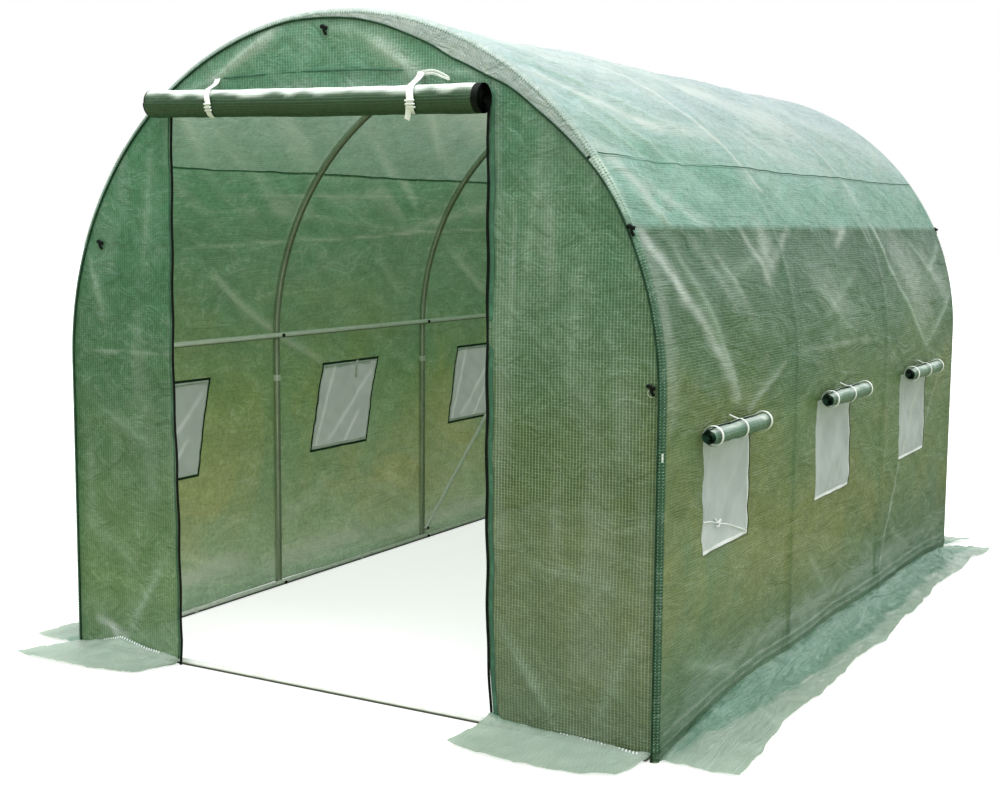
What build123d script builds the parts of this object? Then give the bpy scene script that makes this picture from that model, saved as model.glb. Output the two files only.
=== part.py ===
"""Walk-in hoop greenhouse: four steel hoops, long bars and two braces under a green film cover.

Frame: +Z up, +Y along the tunnel from the door end to the closed end, +X to the right of a person
facing the door. The origin is on the ground, in the middle of the tunnel. Millimetres.
"""

from build123d import *
import math
import os

# Steel frame: hoops, and the tubes that they are made of
bay_length = 1000.0
bay_count = 3
hoop_radius = 1000.0
post_height = 930.0
hoop_tube = 25.0
bar_tube = 20.0
brace_tube = 17.0
tube_wall = 0.8
fit_clearance = 0.3
spigot_length = 60.0
post_top_angle = 24.0
purlin_angle = 1.0
ridge_angle = 90.0
bar_joint_past_hoop = 45.0
end_bar_joint_x = 20.0

# Braces of the last bay: heights where each crosses the posts, and how far its ends run on
brace_foot_height = 45.0
brace_top_height = 905.0
brace_overrun = 8.0

# Self-tapping screws that hold the bars and braces to the hoops
screw_shank = 5.0
screw_hole = 5.6
screw_head = 13.0
screw_head_height = 4.0

# Film cover: one long sheet in three sewn strips, and two end sheets
film = 2.0
cover_clearance = 0.3
seam_angle = 37.0
skirt_width = 190.0

# Doorway, its rolled-up door, ties and zips
door_width = 1100.0
door_centre_x = -38.0
gable_depth = 224.0
door_roll_radius = 42.0
door_roll_length = 1140.0
door_roll_shift = -14.0
door_roll_drop = 13.0
door_tie_spacing = 698.0
door_tie_width = 20.0
door_tie_rise = 123.0
zip_width = 14.0
zip_thickness = 2.0

# Windows: a net sewn inside each opening, with a rolled flap held above it
window_width = 360.0
window_sill = 485.0
window_height = 325.0
left_window_shift = -58.0
right_window_shift = -85.0
net_overlap = 15.0
net_thickness = 1.0
window_roll_radius = 27.0
window_roll_length = 410.0
window_roll_rise = 5.0
window_tie_width = 12.0
window_tie_rise = 50.0

# White webbing ties, the room for the tie behind a roll, and how far open ends stop from the film
roll_standoff = 2.5
roll_tie_thickness = 1.4
strap_thickness = 1.2
post_tie_drop = 143.0
post_tie_width = 22.0
ground_tie_width = 18.0
tie_end_gap = 2.0

# Worked out from the driving dimensions
tunnel_length = bay_length * bay_count
hoop_places = [bay_length * i - tunnel_length / 2 for i in range(bay_count + 1)]
bay_middles = [(a + b) / 2 for a, b in zip(hoop_places, hoop_places[1:])]
hoop_tube_radius = hoop_tube / 2
bar_tube_radius = bar_tube / 2
brace_tube_radius = brace_tube / 2
bar_line_radius = hoop_radius - hoop_tube_radius - fit_clearance - bar_tube_radius
brace_line_x = hoop_radius - hoop_tube_radius - fit_clearance - brace_tube_radius
cover_inside = hoop_radius + hoop_tube_radius + cover_clearance
cover_outside = cover_inside + film
end_inside = tunnel_length / 2 + hoop_tube_radius + cover_clearance
end_outside = end_inside + film
door_left = door_centre_x - door_width / 2
door_right = door_centre_x + door_width / 2
door_height = post_height + hoop_radius - gable_depth
door_roll_height = door_height - door_roll_drop
door_tie_top = door_roll_height + door_tie_rise
window_head = window_sill + window_height
window_roll_height = window_head + window_roll_rise
window_tie_top = window_roll_height + window_tie_rise
post_tie_height = post_height - post_tie_drop
window_shifts = {"left": left_window_shift, "right": right_window_shift}
sides = {"left": -1, "right": 1}
hoop_names = ["front", "second", "third", "rear"]

written = {}


def write(name, shape):
    """Keeps a node to be exported under its name."""
    written[name] = shape


def box(x, y, z):
    """A block between two corners, given as (low, high) pairs."""
    size = (x[1] - x[0], y[1] - y[0], z[1] - z[0])
    middle = ((x[0] + x[1]) / 2, (y[0] + y[1]) / 2, (z[0] + z[1]) / 2)
    return Pos(*middle) * Box(*size)


def mirrored(x_low, x_high, side):
    """A pair of distances from the middle plane, as x limits on that side."""
    return tuple(sorted((side * x_low, side * x_high)))


def rod(start, end, radius):
    """A solid round rod between two points."""
    a, b = Vector(*start), Vector(*end)
    return extrude(Plane(origin=a, z_dir=b - a) * Circle(radius), (b - a).length)


def tube(start, end, outside, wall=tube_wall):
    """A hollow round tube between two points."""
    a, b = Vector(*start), Vector(*end)
    ring = Circle(outside / 2) - Circle(outside / 2 - wall)
    return extrude(Plane(origin=a, z_dir=b - a) * ring, (b - a).length)


def hoop_axis(y):
    """The line about which a hoop bends, turning from +X up to +Z."""
    return Axis((0, y, post_height), (0, -1, 0))


def bent_tube(y, low_angle, high_angle, outside, wall=tube_wall):
    """A tube along the hoop's arc, with angles measured up from +X."""
    ring = Circle(outside / 2) - Circle(outside / 2 - wall)
    section = Plane(origin=(hoop_radius, y, post_height), z_dir=(0, 0, 1)) * ring
    bent = revolve(section, hoop_axis(y), revolution_arc=high_angle - low_angle)
    return bent.rotate(hoop_axis(y), low_angle)


def bent_sheet(low_angle, high_angle):
    """A strip of the cover over the hoops, between two angles measured up from +X."""
    width = cover_outside - cover_inside
    middle = (cover_outside + cover_inside) / 2
    section = Pos(middle, 0, post_height) * Rectangle(width, 2 * end_outside)
    bent = revolve(section, hoop_axis(0), revolution_arc=high_angle - low_angle)
    return bent.rotate(hoop_axis(0), low_angle)


def on_hoop(radius, angle, y):
    """The point at a distance from the hoop's centre, at an angle up from +X."""
    turn = math.radians(angle)
    return (radius * math.cos(turn), y, post_height + radius * math.sin(turn))


spigot_outside_hoop = hoop_tube - 2 * tube_wall - 2 * fit_clearance
spigot_outside_bar = bar_tube - 2 * tube_wall - 2 * fit_clearance
spigot_angle = math.degrees(spigot_length / hoop_radius)


def make_arch(y):
    """The upper tube of a hoop, with a thinner spigot at each end for the posts."""
    arch = bent_tube(y, post_top_angle, 180 - post_top_angle, hoop_tube)
    for low in (post_top_angle - spigot_angle, 180 - post_top_angle):
        arch += bent_tube(y, low, low + spigot_angle, spigot_outside_hoop)
    neck = tube_wall + fit_clearance
    for low in (post_top_angle, 180 - post_top_angle - spigot_angle):
        sleeve = bent_tube(y, low, low + spigot_angle, hoop_tube - 2 * tube_wall, neck)
        arch += sleeve
    return arch


def make_post(y, side):
    """A hoop's leg: straight from the ground, then bent up to the arch's spigot."""
    post = tube((hoop_radius, y, 0), (hoop_radius, y, post_height), hoop_tube)
    post += bent_tube(y, 0, post_top_angle, hoop_tube)
    return post if side > 0 else mirror(post, Plane.YZ)


def make_bar(start, direction, lengths):
    """Tubes in a row, each with a spigot that slides into the next one."""
    along = Vector(*direction)
    at = Vector(*start)
    pieces = []
    for number, length in enumerate(lengths):
        last = number == len(lengths) - 1
        end = at + along * length
        piece = tube(at, end if last else end - along * fit_clearance, bar_tube)
        if not last:
            collar = end - along * (fit_clearance + spigot_length)
            neck = tube_wall + fit_clearance
            piece += tube(collar, end - along * fit_clearance, bar_tube - 2 * tube_wall, neck)
            piece += tube(collar, end + along * spigot_length, spigot_outside_bar)
        pieces.append(piece)
        at = end
    return pieces


long_bar_lengths = []
joint_places = [y + bar_joint_past_hoop for y in hoop_places[1:-1]]
stops = [-tunnel_length / 2 - hoop_tube_radius, *joint_places, tunnel_length / 2 + hoop_tube_radius]
for low, high in zip(stops, stops[1:]):
    long_bar_lengths.append(high - low)


def make_long_bar(x, z):
    """A bar along the whole tunnel, jointed just past each inner hoop."""
    return make_bar((x, stops[0], z), (0, 1, 0), long_bar_lengths)


def screw(root, direction, grip):
    """A screw whose head sits at root and whose shank runs along direction."""
    along = Vector(*direction).normalized()
    head_at = Vector(*root) - along * fit_clearance
    head = rod(head_at - along * screw_head_height, head_at, screw_head / 2)
    return head + rod(head_at, Vector(*root) + along * grip, screw_shank / 2)


def hole(root, direction, depth):
    """The clearance hole that a screw passes through."""
    along = Vector(*direction).normalized()
    start = Vector(*root) - along * bar_tube_radius
    return rod(start, Vector(*root) + along * depth, screw_hole / 2)


# Hoops
posts = {side: [make_post(y, way) for y in hoop_places] for side, way in sides.items()}
arches = [make_arch(y) for y in hoop_places]

# Long bars inside the hoops: a purlin on each side, the ridge, and one on the ground each side
purlin_x, _, purlin_z = on_hoop(bar_line_radius, purlin_angle, 0)
ridge_x, _, ridge_z = on_hoop(bar_line_radius, ridge_angle, 0)
long_bars = {
    "left_purlin": make_long_bar(-purlin_x, purlin_z),
    "right_purlin": make_long_bar(purlin_x, purlin_z),
    "ridge_bar": make_long_bar(ridge_x, ridge_z),
    "left_ground_bar": make_long_bar(-bar_line_radius, bar_tube_radius),
    "right_ground_bar": make_long_bar(bar_line_radius, bar_tube_radius),
}

# Ground bars across the ends, between the long ground bars
end_bar_reach = bar_line_radius - bar_tube_radius - fit_clearance
end_bar_y = tunnel_length / 2 - hoop_tube_radius - fit_clearance - bar_tube_radius
end_bar_lengths = [end_bar_reach + end_bar_joint_x, end_bar_reach - end_bar_joint_x]
for name, way in (("front", -1), ("rear", 1)):
    bar = make_bar((-end_bar_reach, way * end_bar_y, bar_tube_radius), (1, 0, 0), end_bar_lengths)
    write(f"{name}_ground_bar", Compound(children=bar))

# Braces of the last bay, from the foot of the third hoop to the rear hoop
brace_run = Vector(0, bay_length, brace_top_height - brace_foot_height).normalized()
braces = {}
for side, way in sides.items():
    foot = Vector(way * brace_line_x, hoop_places[-2], brace_foot_height)
    top = Vector(way * brace_line_x, hoop_places[-1], brace_top_height)
    braces[side] = tube(foot - brace_run * brace_overrun, top + brace_run * brace_overrun, brace_tube)

# Screws, and the holes that they pass through
screws = []
bar_grip = bar_tube + fit_clearance + hoop_tube_radius / 2
brace_grip = brace_tube + fit_clearance + hoop_tube_radius / 2
for number, y in enumerate(hoop_places):
    up = (0, 0, 1)
    root = (ridge_x, y, ridge_z - bar_tube_radius)
    screws.append(screw(root, up, bar_grip))
    cut = hole(root, up, bar_grip)
    arches[number] -= cut
    long_bars["ridge_bar"] = [piece - cut for piece in long_bars["ridge_bar"]]
    for side, way in sides.items():
        turn = math.radians(purlin_angle)
        outward = Vector(way * math.cos(turn), 0, math.sin(turn))
        for bar_name, line, run in (
            (f"{side}_purlin", Vector(way * purlin_x, y, purlin_z), outward),
            (f"{side}_ground_bar", Vector(way * bar_line_radius, y, bar_tube_radius), Vector(way, 0, 0)),
        ):
            root = line - run * bar_tube_radius
            screws.append(screw(root, run, bar_grip))
            cut = hole(root, run, bar_grip)
            posts[side][number] -= cut
            long_bars[bar_name] = [piece - cut for piece in long_bars[bar_name]]
for side, way in sides.items():
    for number, height in ((-2, brace_foot_height), (-1, brace_top_height)):
        outward = (way, 0, 0)
        root = (way * (brace_line_x - brace_tube_radius), hoop_places[number], height)
        screws.append(screw(root, outward, brace_grip))
        cut = hole(root, outward, brace_grip)
        posts[side][number] -= cut
        braces[side] -= cut

for name, arch in zip(hoop_names, arches):
    write(f"{name}_arch", arch)
for side in sides:
    write(f"{side}_posts", Compound(children=posts[side]))
    write(f"{side}_brace", braces[side])
for name, bar in long_bars.items():
    write(name, Compound(children=bar))
write("frame_screws", Compound(children=screws))


def window_middles(side):
    """Where the windows of a side stand along the tunnel."""
    return [y + window_shifts[side] for y in bay_middles]


def make_side_cover(side):
    """The strip from the ground up to the seam, with its three window openings."""
    cover = box((cover_inside, cover_outside), (-end_outside, end_outside), (0, post_height))
    cover += bent_sheet(0, seam_angle)
    cover = cover if sides[side] > 0 else mirror(cover, Plane.YZ)
    reach = mirrored(cover_inside - film, cover_outside + film, sides[side])
    for y in window_middles(side):
        along = (y - window_width / 2, y + window_width / 2)
        cover -= box(reach, along, (window_sill, window_head))
    return cover


# The long cover: two side strips and the roof strip between the seams
for side in sides:
    write(f"{side}_side_cover", make_side_cover(side))
write("roof_cover", bent_sheet(seam_angle, 180 - seam_angle))

# End sheets, inside the edge of the long cover
sheet_half_width = cover_inside - cover_clearance
outline = Pos(0, post_height / 2) * Rectangle(2 * sheet_half_width, post_height)
outline += Pos(0, post_height) * Circle(sheet_half_width)
outline -= Pos(0, -sheet_half_width) * Rectangle(4 * sheet_half_width, 2 * sheet_half_width)
upright = Plane(origin=(0, 0, 0), x_dir=(1, 0, 0), z_dir=(0, -1, 0))
end_sheet = extrude(upright * outline, film)
front_sheet = Pos(0, -end_inside, 0) * end_sheet
full_height = (0, post_height + 2 * hoop_radius)
through_end = (-end_outside - film, -end_inside + film)
reach_left = (-2 * hoop_radius, door_left)
reach_right = (door_right, 2 * hoop_radius)
write("front_left_panel", front_sheet & box(reach_left, through_end, full_height))
write("front_right_panel", front_sheet & box(reach_right, through_end, full_height))
over_door = (door_height, full_height[1])
write("front_gable", front_sheet & box((door_left, door_right), through_end, over_door))
write("rear_panel", Pos(0, end_outside, 0) * end_sheet)

# Skirts that lie on the ground round the cover, left open at the corners and the doorway
skirt_edge = cover_outside + skirt_width
skirt_end = end_outside + skirt_width
for side, way in sides.items():
    across = mirrored(cover_outside, skirt_edge, way)
    write(f"{side}_skirt", box(across, (-end_outside, end_outside), (0, film)))
front_run = (-skirt_end, -end_outside)
write("front_left_skirt", box((-cover_outside, door_left), front_run, (0, film)))
write("front_right_skirt", box((door_right, cover_outside), front_run, (0, film)))
write("rear_skirt", box((-cover_outside, cover_outside), (end_outside, skirt_end), (0, film)))


def make_roll_tie(centre, along, outward, radius, width, top):
    """A webbing ring round a roll, with a tab that runs up the sheet behind it."""
    c, a, out = Vector(*centre), Vector(*along), Vector(*outward)
    inner = radius + fit_clearance
    outer = inner + roll_tie_thickness
    ring = Plane(origin=c - a * (width / 2), z_dir=a) * (Circle(outer) - Circle(inner))
    strap = extrude(ring, width)
    behind = c - out * (radius + roll_standoff)
    ahead = behind + out * roll_tie_thickness
    low, high = behind - a * (width / 2), ahead + a * (width / 2)
    xs, ys = sorted((low.X, high.X)), sorted((low.Y, high.Y))
    return strap + box(xs, ys, (c.Z, top))


# Door: rolled up over the doorway, tied twice, with a zip down each side of the opening
door_roll_y = -end_outside - roll_standoff - door_roll_radius
half_roll = door_roll_length / 2
roll_middle = door_centre_x + door_roll_shift
roll_start = (roll_middle - half_roll, door_roll_y, door_roll_height)
roll_end = (roll_middle + half_roll, door_roll_y, door_roll_height)
write("door_roll", rod(roll_start, roll_end, door_roll_radius))
door_ties = []
for x in (roll_middle - door_tie_spacing / 2, roll_middle + door_tie_spacing / 2):
    centre = (x, door_roll_y, door_roll_height)
    door_ties.append(
        make_roll_tie(centre, (1, 0, 0), (0, -1, 0), door_roll_radius, door_tie_width, door_tie_top)
    )
write("door_roll_ties", Compound(children=door_ties))
zip_depth = (-end_outside - zip_thickness, -end_outside)
zips = [
    box((door_left - zip_width, door_left), zip_depth, (film, door_height)),
    box((door_right, door_right + zip_width), zip_depth, (film, door_height)),
]
write("door_zips", Compound(children=zips))

# Windows: nets inside the openings, flaps rolled up outside and tied in the middle
window_ties = []
for side, way in sides.items():
    net_depth = mirrored(cover_inside - net_thickness, cover_inside, way)
    roll_x = way * (cover_outside + roll_standoff + window_roll_radius)
    for number, y in enumerate(window_middles(side), start=1):
        half_net = window_width / 2 + net_overlap
        net_rise = (window_sill - net_overlap, window_head + net_overlap)
        write(f"{side}_window_net_{number}", box(net_depth, (y - half_net, y + half_net), net_rise))
        start = (roll_x, y - window_roll_length / 2, window_roll_height)
        end = (roll_x, y + window_roll_length / 2, window_roll_height)
        write(f"{side}_window_roll_{number}", rod(start, end, window_roll_radius))
        centre = (roll_x, y, window_roll_height)
        window_ties.append(
            make_roll_tie(centre, (0, 1, 0), (way, 0, 0), window_roll_radius, window_tie_width, window_tie_top)
        )
write("window_roll_ties", Compound(children=window_ties))

# Ties that hold the cover to the posts, and loops round the ground bars
tie_inner = hoop_tube_radius + fit_clearance
tie_room_x = cover_inside - tie_end_gap
tie_room_y = end_inside - tie_end_gap
tie_room = box((-tie_room_x, tie_room_x), (-tie_room_y, tie_room_y), (tie_end_gap, post_height))
frame_ties = []
for side, way in sides.items():
    for y in hoop_places:
        ring = Circle(tie_inner + strap_thickness) - Circle(tie_inner)
        base = Plane(origin=(way * hoop_radius, y, post_tie_height - post_tie_width / 2), z_dir=(0, 0, 1))
        band = extrude(base * ring, post_tie_width)
        frame_ties.append(band & tie_room)
    for y in bay_middles:
        inner = bar_tube_radius + fit_clearance
        ring = Circle(inner + strap_thickness) - Circle(inner)
        start = (way * bar_line_radius, y - ground_tie_width / 2, bar_tube_radius)
        loop = extrude(Plane(origin=start, z_dir=(0, 1, 0)) * ring, ground_tie_width)
        frame_ties.append(loop & tie_room)
write("frame_ties", Compound(children=frame_ties))

os.makedirs("parts", exist_ok=True)
for name, shape in written.items():
    export_step(shape, f"parts/{name}.step")
print(len(written), "nodes written")
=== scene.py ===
"""Looks of the walk-in hoop greenhouse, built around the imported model.

Metres. X runs to the right seen from the door, Y from the door end to the closed end, Z up.
A point of the cover is (arc, along): arc is its distance from the ridge line round the hoops, positive
on the right, and along is its Y.
"""
import math

import bpy
import numpy as np
from mathutils import Matrix, Vector


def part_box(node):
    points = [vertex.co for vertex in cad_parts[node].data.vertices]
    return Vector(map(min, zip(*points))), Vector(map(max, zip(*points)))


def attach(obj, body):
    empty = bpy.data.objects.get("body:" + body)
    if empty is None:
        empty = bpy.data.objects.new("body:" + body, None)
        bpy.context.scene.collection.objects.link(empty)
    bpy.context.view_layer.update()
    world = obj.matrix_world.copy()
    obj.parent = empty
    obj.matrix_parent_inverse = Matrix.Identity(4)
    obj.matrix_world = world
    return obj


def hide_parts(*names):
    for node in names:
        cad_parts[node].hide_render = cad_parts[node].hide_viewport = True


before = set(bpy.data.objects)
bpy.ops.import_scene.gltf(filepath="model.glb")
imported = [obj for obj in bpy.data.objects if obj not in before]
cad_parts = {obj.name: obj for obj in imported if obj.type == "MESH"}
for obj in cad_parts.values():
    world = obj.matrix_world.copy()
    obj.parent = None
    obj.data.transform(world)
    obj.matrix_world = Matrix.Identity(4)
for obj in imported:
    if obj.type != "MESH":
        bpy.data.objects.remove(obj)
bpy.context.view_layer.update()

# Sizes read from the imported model
HOOP_NODES = ("front_arch", "second_arch", "third_arch", "rear_arch")
HOOPS = [(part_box(name)[0][1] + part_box(name)[1][1]) / 2 for name in HOOP_NODES]
TUBE = (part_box("front_arch")[1][1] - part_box("front_arch")[0][1]) / 2
COVER_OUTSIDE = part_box("right_side_cover")[1][0]
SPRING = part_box("roof_cover")[1][2] - COVER_OUTSIDE
HALF_FILM = 0.001
FILM_GAP = 0.0013
COVER = COVER_OUTSIDE - HALF_FILM
HOOP = COVER - FILM_GAP - TUBE
FRONT = HOOPS[0]
REAR = HOOPS[-1]
WRAP = COVER - HOOP
FRONT_FACE = FRONT - WRAP
REAR_FACE = REAR + WRAP
DOOR_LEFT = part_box("front_left_panel")[1][0]
DOOR_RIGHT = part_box("front_right_panel")[0][0]
DOOR_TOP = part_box("front_gable")[0][2]

# Arc lengths round the cover, from the ridge: the seam and the fold are so many degrees above the level
SEAM_LEVEL = 37
FOLD_LEVEL = 25
SHOULDER_ARC = COVER * math.pi / 2
GROUND_ARC = SHOULDER_ARC + SPRING
SEAM_ARC = COVER * math.radians(90 - SEAM_LEVEL)
FOLD_ARC = COVER * math.radians(90 - FOLD_LEVEL)
HEM_ARC = WRAP * math.pi / 2

# Film: mesh spacing, thread spacing, sag between hoops, and how strongly folds stand out
GRID = 0.010
PANEL_GRID = 0.009
SKIRT_GRID = 0.012
WARP_PITCH = 0.0092
WEFT_PITCH = 0.0078
NET_PITCH = 0.0018
SAG = 0.010
FRONT_BAY_SAG = 0.018
FOLD_STRENGTH = 1.5
FOLD_FULL = 0.008

# How much of the painted sky light the left half of the cover shows
LEFT_SKY = 0.40

# Waves of the loose cover: height, lean, size round the hoops and along the tunnel, and seed
COVER_WAVES = (
    (0.0035, 0.0, 0.16, 0.26, 3),
    (0.0026, 0.55, 0.035, 0.30, 4),
    (0.0016, -0.7, 0.05, 0.20, 6),
    (0.0009, 0.0, 0.03, 0.05, 5),
)
CRUMPLE = 0.0030
LEDGES = (0.0045, 0.0012)
STREAK_LEAN = 0.55

# How far the cover's sewn edge reaches down the end faces, by degrees from the ridge
FLANGE = 0.026
FLANGE_TURNS = (-90, -55, -8, 0, 5, 10, 15, 20, 24, 31, 36, 42, 47, 51, 56, 61, 90)
FLANGE_REACH = (0.002, 0.004, 0.003, 0.010, 0.0145, 0.023, 0.034, 0.042, 0.052, 0.047, 0.034, 0.031, 0.022,
                0.015, 0.005, 0.001, 0.001)

# Share of the sewn edge, from the hoop down, that is as green as the roof
PALE_FROM = 0.62

# How much of the wrapped film's painted highlight the greener share keeps
BENT_LIGHT = 0.90

# Height of the fold between wall and skirt, by place along the tunnel, and the left wall's share of it
FOOT_PLACES = (-1.50, -1.44, -1.12, -0.76, -0.39, 0.03, 0.80, 1.30, 1.50)
FOOT_HEIGHTS = (0.004, 0.008, 0.041, 0.056, 0.050, 0.046, 0.034, 0.020, 0.006)
LEFT_FOOT = 0.2
FOOT_INWARD = 0.010

# Windows: centre along the wall, width, lean of the top towards the rear
RIGHT_WINDOWS = [(-1.060, 0.355, -0.01), (-0.100, 0.372, 0.0), (0.905, 0.385, 0.0)]
LEFT_WINDOWS = [(-1.090, 0.36, 0.07), (-0.060, 0.36, 0.08), (0.945, 0.36, 0.07)]
NET_MARGIN = 0.015
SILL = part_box("right_window_net_1")[0][2] + NET_MARGIN
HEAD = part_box("right_window_net_1")[1][2] - NET_MARGIN
NET_OVERLAP = 0.009
FOOT_HEM = 0.010

# End panels
END_RADIUS = HOOP - 0.001
FRONT_PANEL_Y = FRONT_FACE + 0.0008
REAR_PANEL_Y = REAR_FACE - 0.0008
PANEL_FOOT = 0.003

# How the doorway's two edges hang: height and how far each is off its straight line, towards the right
JAMB_HEIGHTS = (0.0, 0.09, 0.28, 0.45, 0.63, 0.90, 1.15, 1.43, 1.80)
LEFT_JAMB_DRIFT = (0.008, 0.015, 0.013, 0.012, 0.008, 0.000, 0.003, 0.007, 0.010)
RIGHT_JAMB_DRIFT = (0.018, 0.013, 0.002, 0.001, -0.003, -0.004, -0.004, -0.005, -0.006)

# How high each front panel's fold on to its skirt stands, from the doorway to the corner
FOLD_SHARES = (0.0, 0.10, 0.30, 0.55, 0.80, 1.0)
LEFT_FOLD_HEIGHTS = (0.026, 0.034, 0.040, 0.062, 0.034, 0.014)
RIGHT_FOLD_HEIGHTS = (0.058, 0.036, 0.030, 0.028, 0.022, 0.014)

# Stitches and the tapes beside the zips
STITCH_PITCH = 0.0080
STITCH_LEAN = 0.0016
UPPER_STITCH_ARC = 0.88
FOLD_STITCH = 0.010
ZIP_STRIP = 0.014

# Rolled door: how far its ends are off the level, and how much shorter than its solid it is
ROLL_TILT = 0.011
ROLL_SHORT = 0.014

# The tie round the middle of each window roll, and the binding rings near its ends, as shares of its length
TIE_PLACE = 0.02
RING_PLACES = (-0.43, 0.48)

# Camera fitted to the photo: place, turn to the left, tilt down, roll, and focal length in pixels
CAMERA = (2.4762, -4.878, 1.3585)
YAW = 0.5212
PITCH = 0.1156
ROLL = 0.0077
FOCAL = 1486.3
FRAME_WIDTH = 1000
SENSOR = 36


def node_box(name):
    """Centre and size of a node of the frame."""
    low, high = (np.array(corner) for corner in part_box(name))
    return (low + high) / 2, high - low


def smooth_noise(u, v, size_u, size_v, seed):
    """Smooth noise from -1 to 1 over two arrays, with blobs of about the given sizes."""
    cells = 64
    table = np.random.default_rng(seed).uniform(-1, 1, (cells, cells))
    p = np.asarray(u, float) / size_u + 31.7
    q = np.asarray(v, float) / size_v + 17.3
    i = np.floor(p).astype(int)
    j = np.floor(q).astype(int)
    f = p - i
    g = q - j
    f = f * f * (3 - 2 * f)
    g = g * g * (3 - 2 * g)
    near = table[i % cells, j % cells] * (1 - f) + table[(i + 1) % cells, j % cells] * f
    far = table[i % cells, (j + 1) % cells] * (1 - f) + table[(i + 1) % cells, (j + 1) % cells] * f
    return near * (1 - g) + far * g


def leaning(arc, along, lean):
    """A place on the cover in axes that lean, alike on both sides of the ridge."""
    return arc + lean * along, along - lean * np.abs(arc)


def crease(u, v, start, end, height, width):
    """Rise of a sharp fold that runs from start to end and fades at both."""
    du = end[0] - start[0]
    dv = end[1] - start[1]
    along = ((u - start[0]) * du + (v - start[1]) * dv) / (du * du + dv * dv)
    near = np.clip(along, 0, 1)
    off = np.hypot(u - start[0] - near * du, v - start[1] - near * dv)
    taper = np.sqrt(np.clip(np.sin(np.pi * (0.04 + 0.92 * near)), 0, 1))
    return height * taper * np.exp(-np.sqrt(off ** 2 + 0.003 ** 2) / width)


def whitened(rise):
    """How much a fold of this height lightens the film, from 0 to 1: partly wear, partly painted highlight
    on its crest.
    """
    return np.clip(rise / FOLD_FULL, 0, 1) ** 1.3


def stroke(u, v, start, end, amount, width):
    """A soft stroke of tone from start to end, strongest in its middle."""
    du = end[0] - start[0]
    dv = end[1] - start[1]
    near = np.clip(((u - start[0]) * du + (v - start[1]) * dv) / (du * du + dv * dv), 0, 1)
    off = np.hypot(u - start[0] - near * du, v - start[1] - near * dv)
    taper = np.sin(np.pi * (0.12 + 0.76 * near)) ** 0.5
    ragged = width * (1 + 0.35 * smooth_noise(u, v, 0.05, 0.05, 23))
    return amount * taper * np.exp(-(off / ragged) ** 2)


def steps(marks, spacing):
    """Grid lines through every mark, about one spacing apart."""
    lines = [marks[0]]
    for low, high in zip(marks, marks[1:]):
        count = max(1, round(abs(high - low) / spacing))
        lines += [low + (high - low) * n / count for n in range(1, count + 1)]
    return np.array(lines)


def mesh_piece(name, points, faces, uv=None, materials=(), face_slots=None, marks=None):
    """A smooth mesh object that rides on the frame, with its marks as one number a point each."""
    mesh = bpy.data.meshes.new(name)
    mesh.from_pydata(np.asarray(points, float).tolist(), [], [list(map(int, face)) for face in faces])
    if uv is not None:
        layer = mesh.uv_layers.new(name="threads")
        corners = np.empty(len(mesh.loops), int)
        mesh.loops.foreach_get("vertex_index", corners)
        layer.data.foreach_set("uv", np.asarray(uv, float)[corners].ravel())
        plain = np.zeros(len(mesh.vertices))
        for key in ("wear_and_highlight", "sheen", "sky"):
            held = mesh.attributes.new(key, "FLOAT", "POINT")
            held.data.foreach_set("value", (marks or {}).get(key, plain).ravel())
    for material in materials:
        mesh.materials.append(material)
    if face_slots is not None:
        mesh.polygons.foreach_set("material_index", np.asarray(face_slots, int))
    mesh.polygons.foreach_set("use_smooth", [True] * len(mesh.polygons))
    mesh.update()
    piece = bpy.data.objects.new(name, mesh)
    bpy.context.scene.collection.objects.link(piece)
    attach(piece, "root")
    return piece


def grid_faces(rows, columns, keep=None, closed=False):
    """Quads of a grid of points, without those where keep is false."""
    index = np.arange(rows * columns).reshape(rows, columns)
    if closed:
        index = np.concatenate([index, index[:, :1]], axis=1)
    quads = np.stack([index[:-1, :-1], index[:-1, 1:], index[1:, 1:], index[1:, :-1]], axis=-1)
    if keep is not None:
        return quads[keep]
    return quads.reshape(-1, 4)


def grid_piece(name, points, uv, material, keep=None, extra=(), face_slots=None, marks=None):
    """A film piece from a grid of points, with its threads' UVs in metres, in place of its node."""
    faces = grid_faces(*points.shape[:2], keep)
    piece = mesh_piece(name, points.reshape(-1, 3), faces, uv.reshape(-1, 2), [material, *extra],
                       face_slots, marks)
    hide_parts(name)
    return piece


def smooth_path(points, count):
    """Points of a smooth curve through the given ones."""
    p = np.asarray(points, float)
    p = np.vstack([2 * p[0] - p[1], p, 2 * p[-1] - p[-2]])
    made = []
    for a, b, c, d in zip(p, p[1:], p[2:], p[3:]):
        for n in range(count):
            t = n / count
            made.append(0.5 * (2 * b + (c - a) * t + (2 * a - 5 * b + 4 * c - d) * t * t
                               + (3 * b - a - 3 * c + d) * t ** 3))
    made.append(p[-2])
    return np.array(made)


def directions(path):
    """Unit tangents of a path."""
    tangents = np.gradient(path, axis=0)
    return tangents / np.linalg.norm(tangents, axis=1)[:, None]


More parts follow.
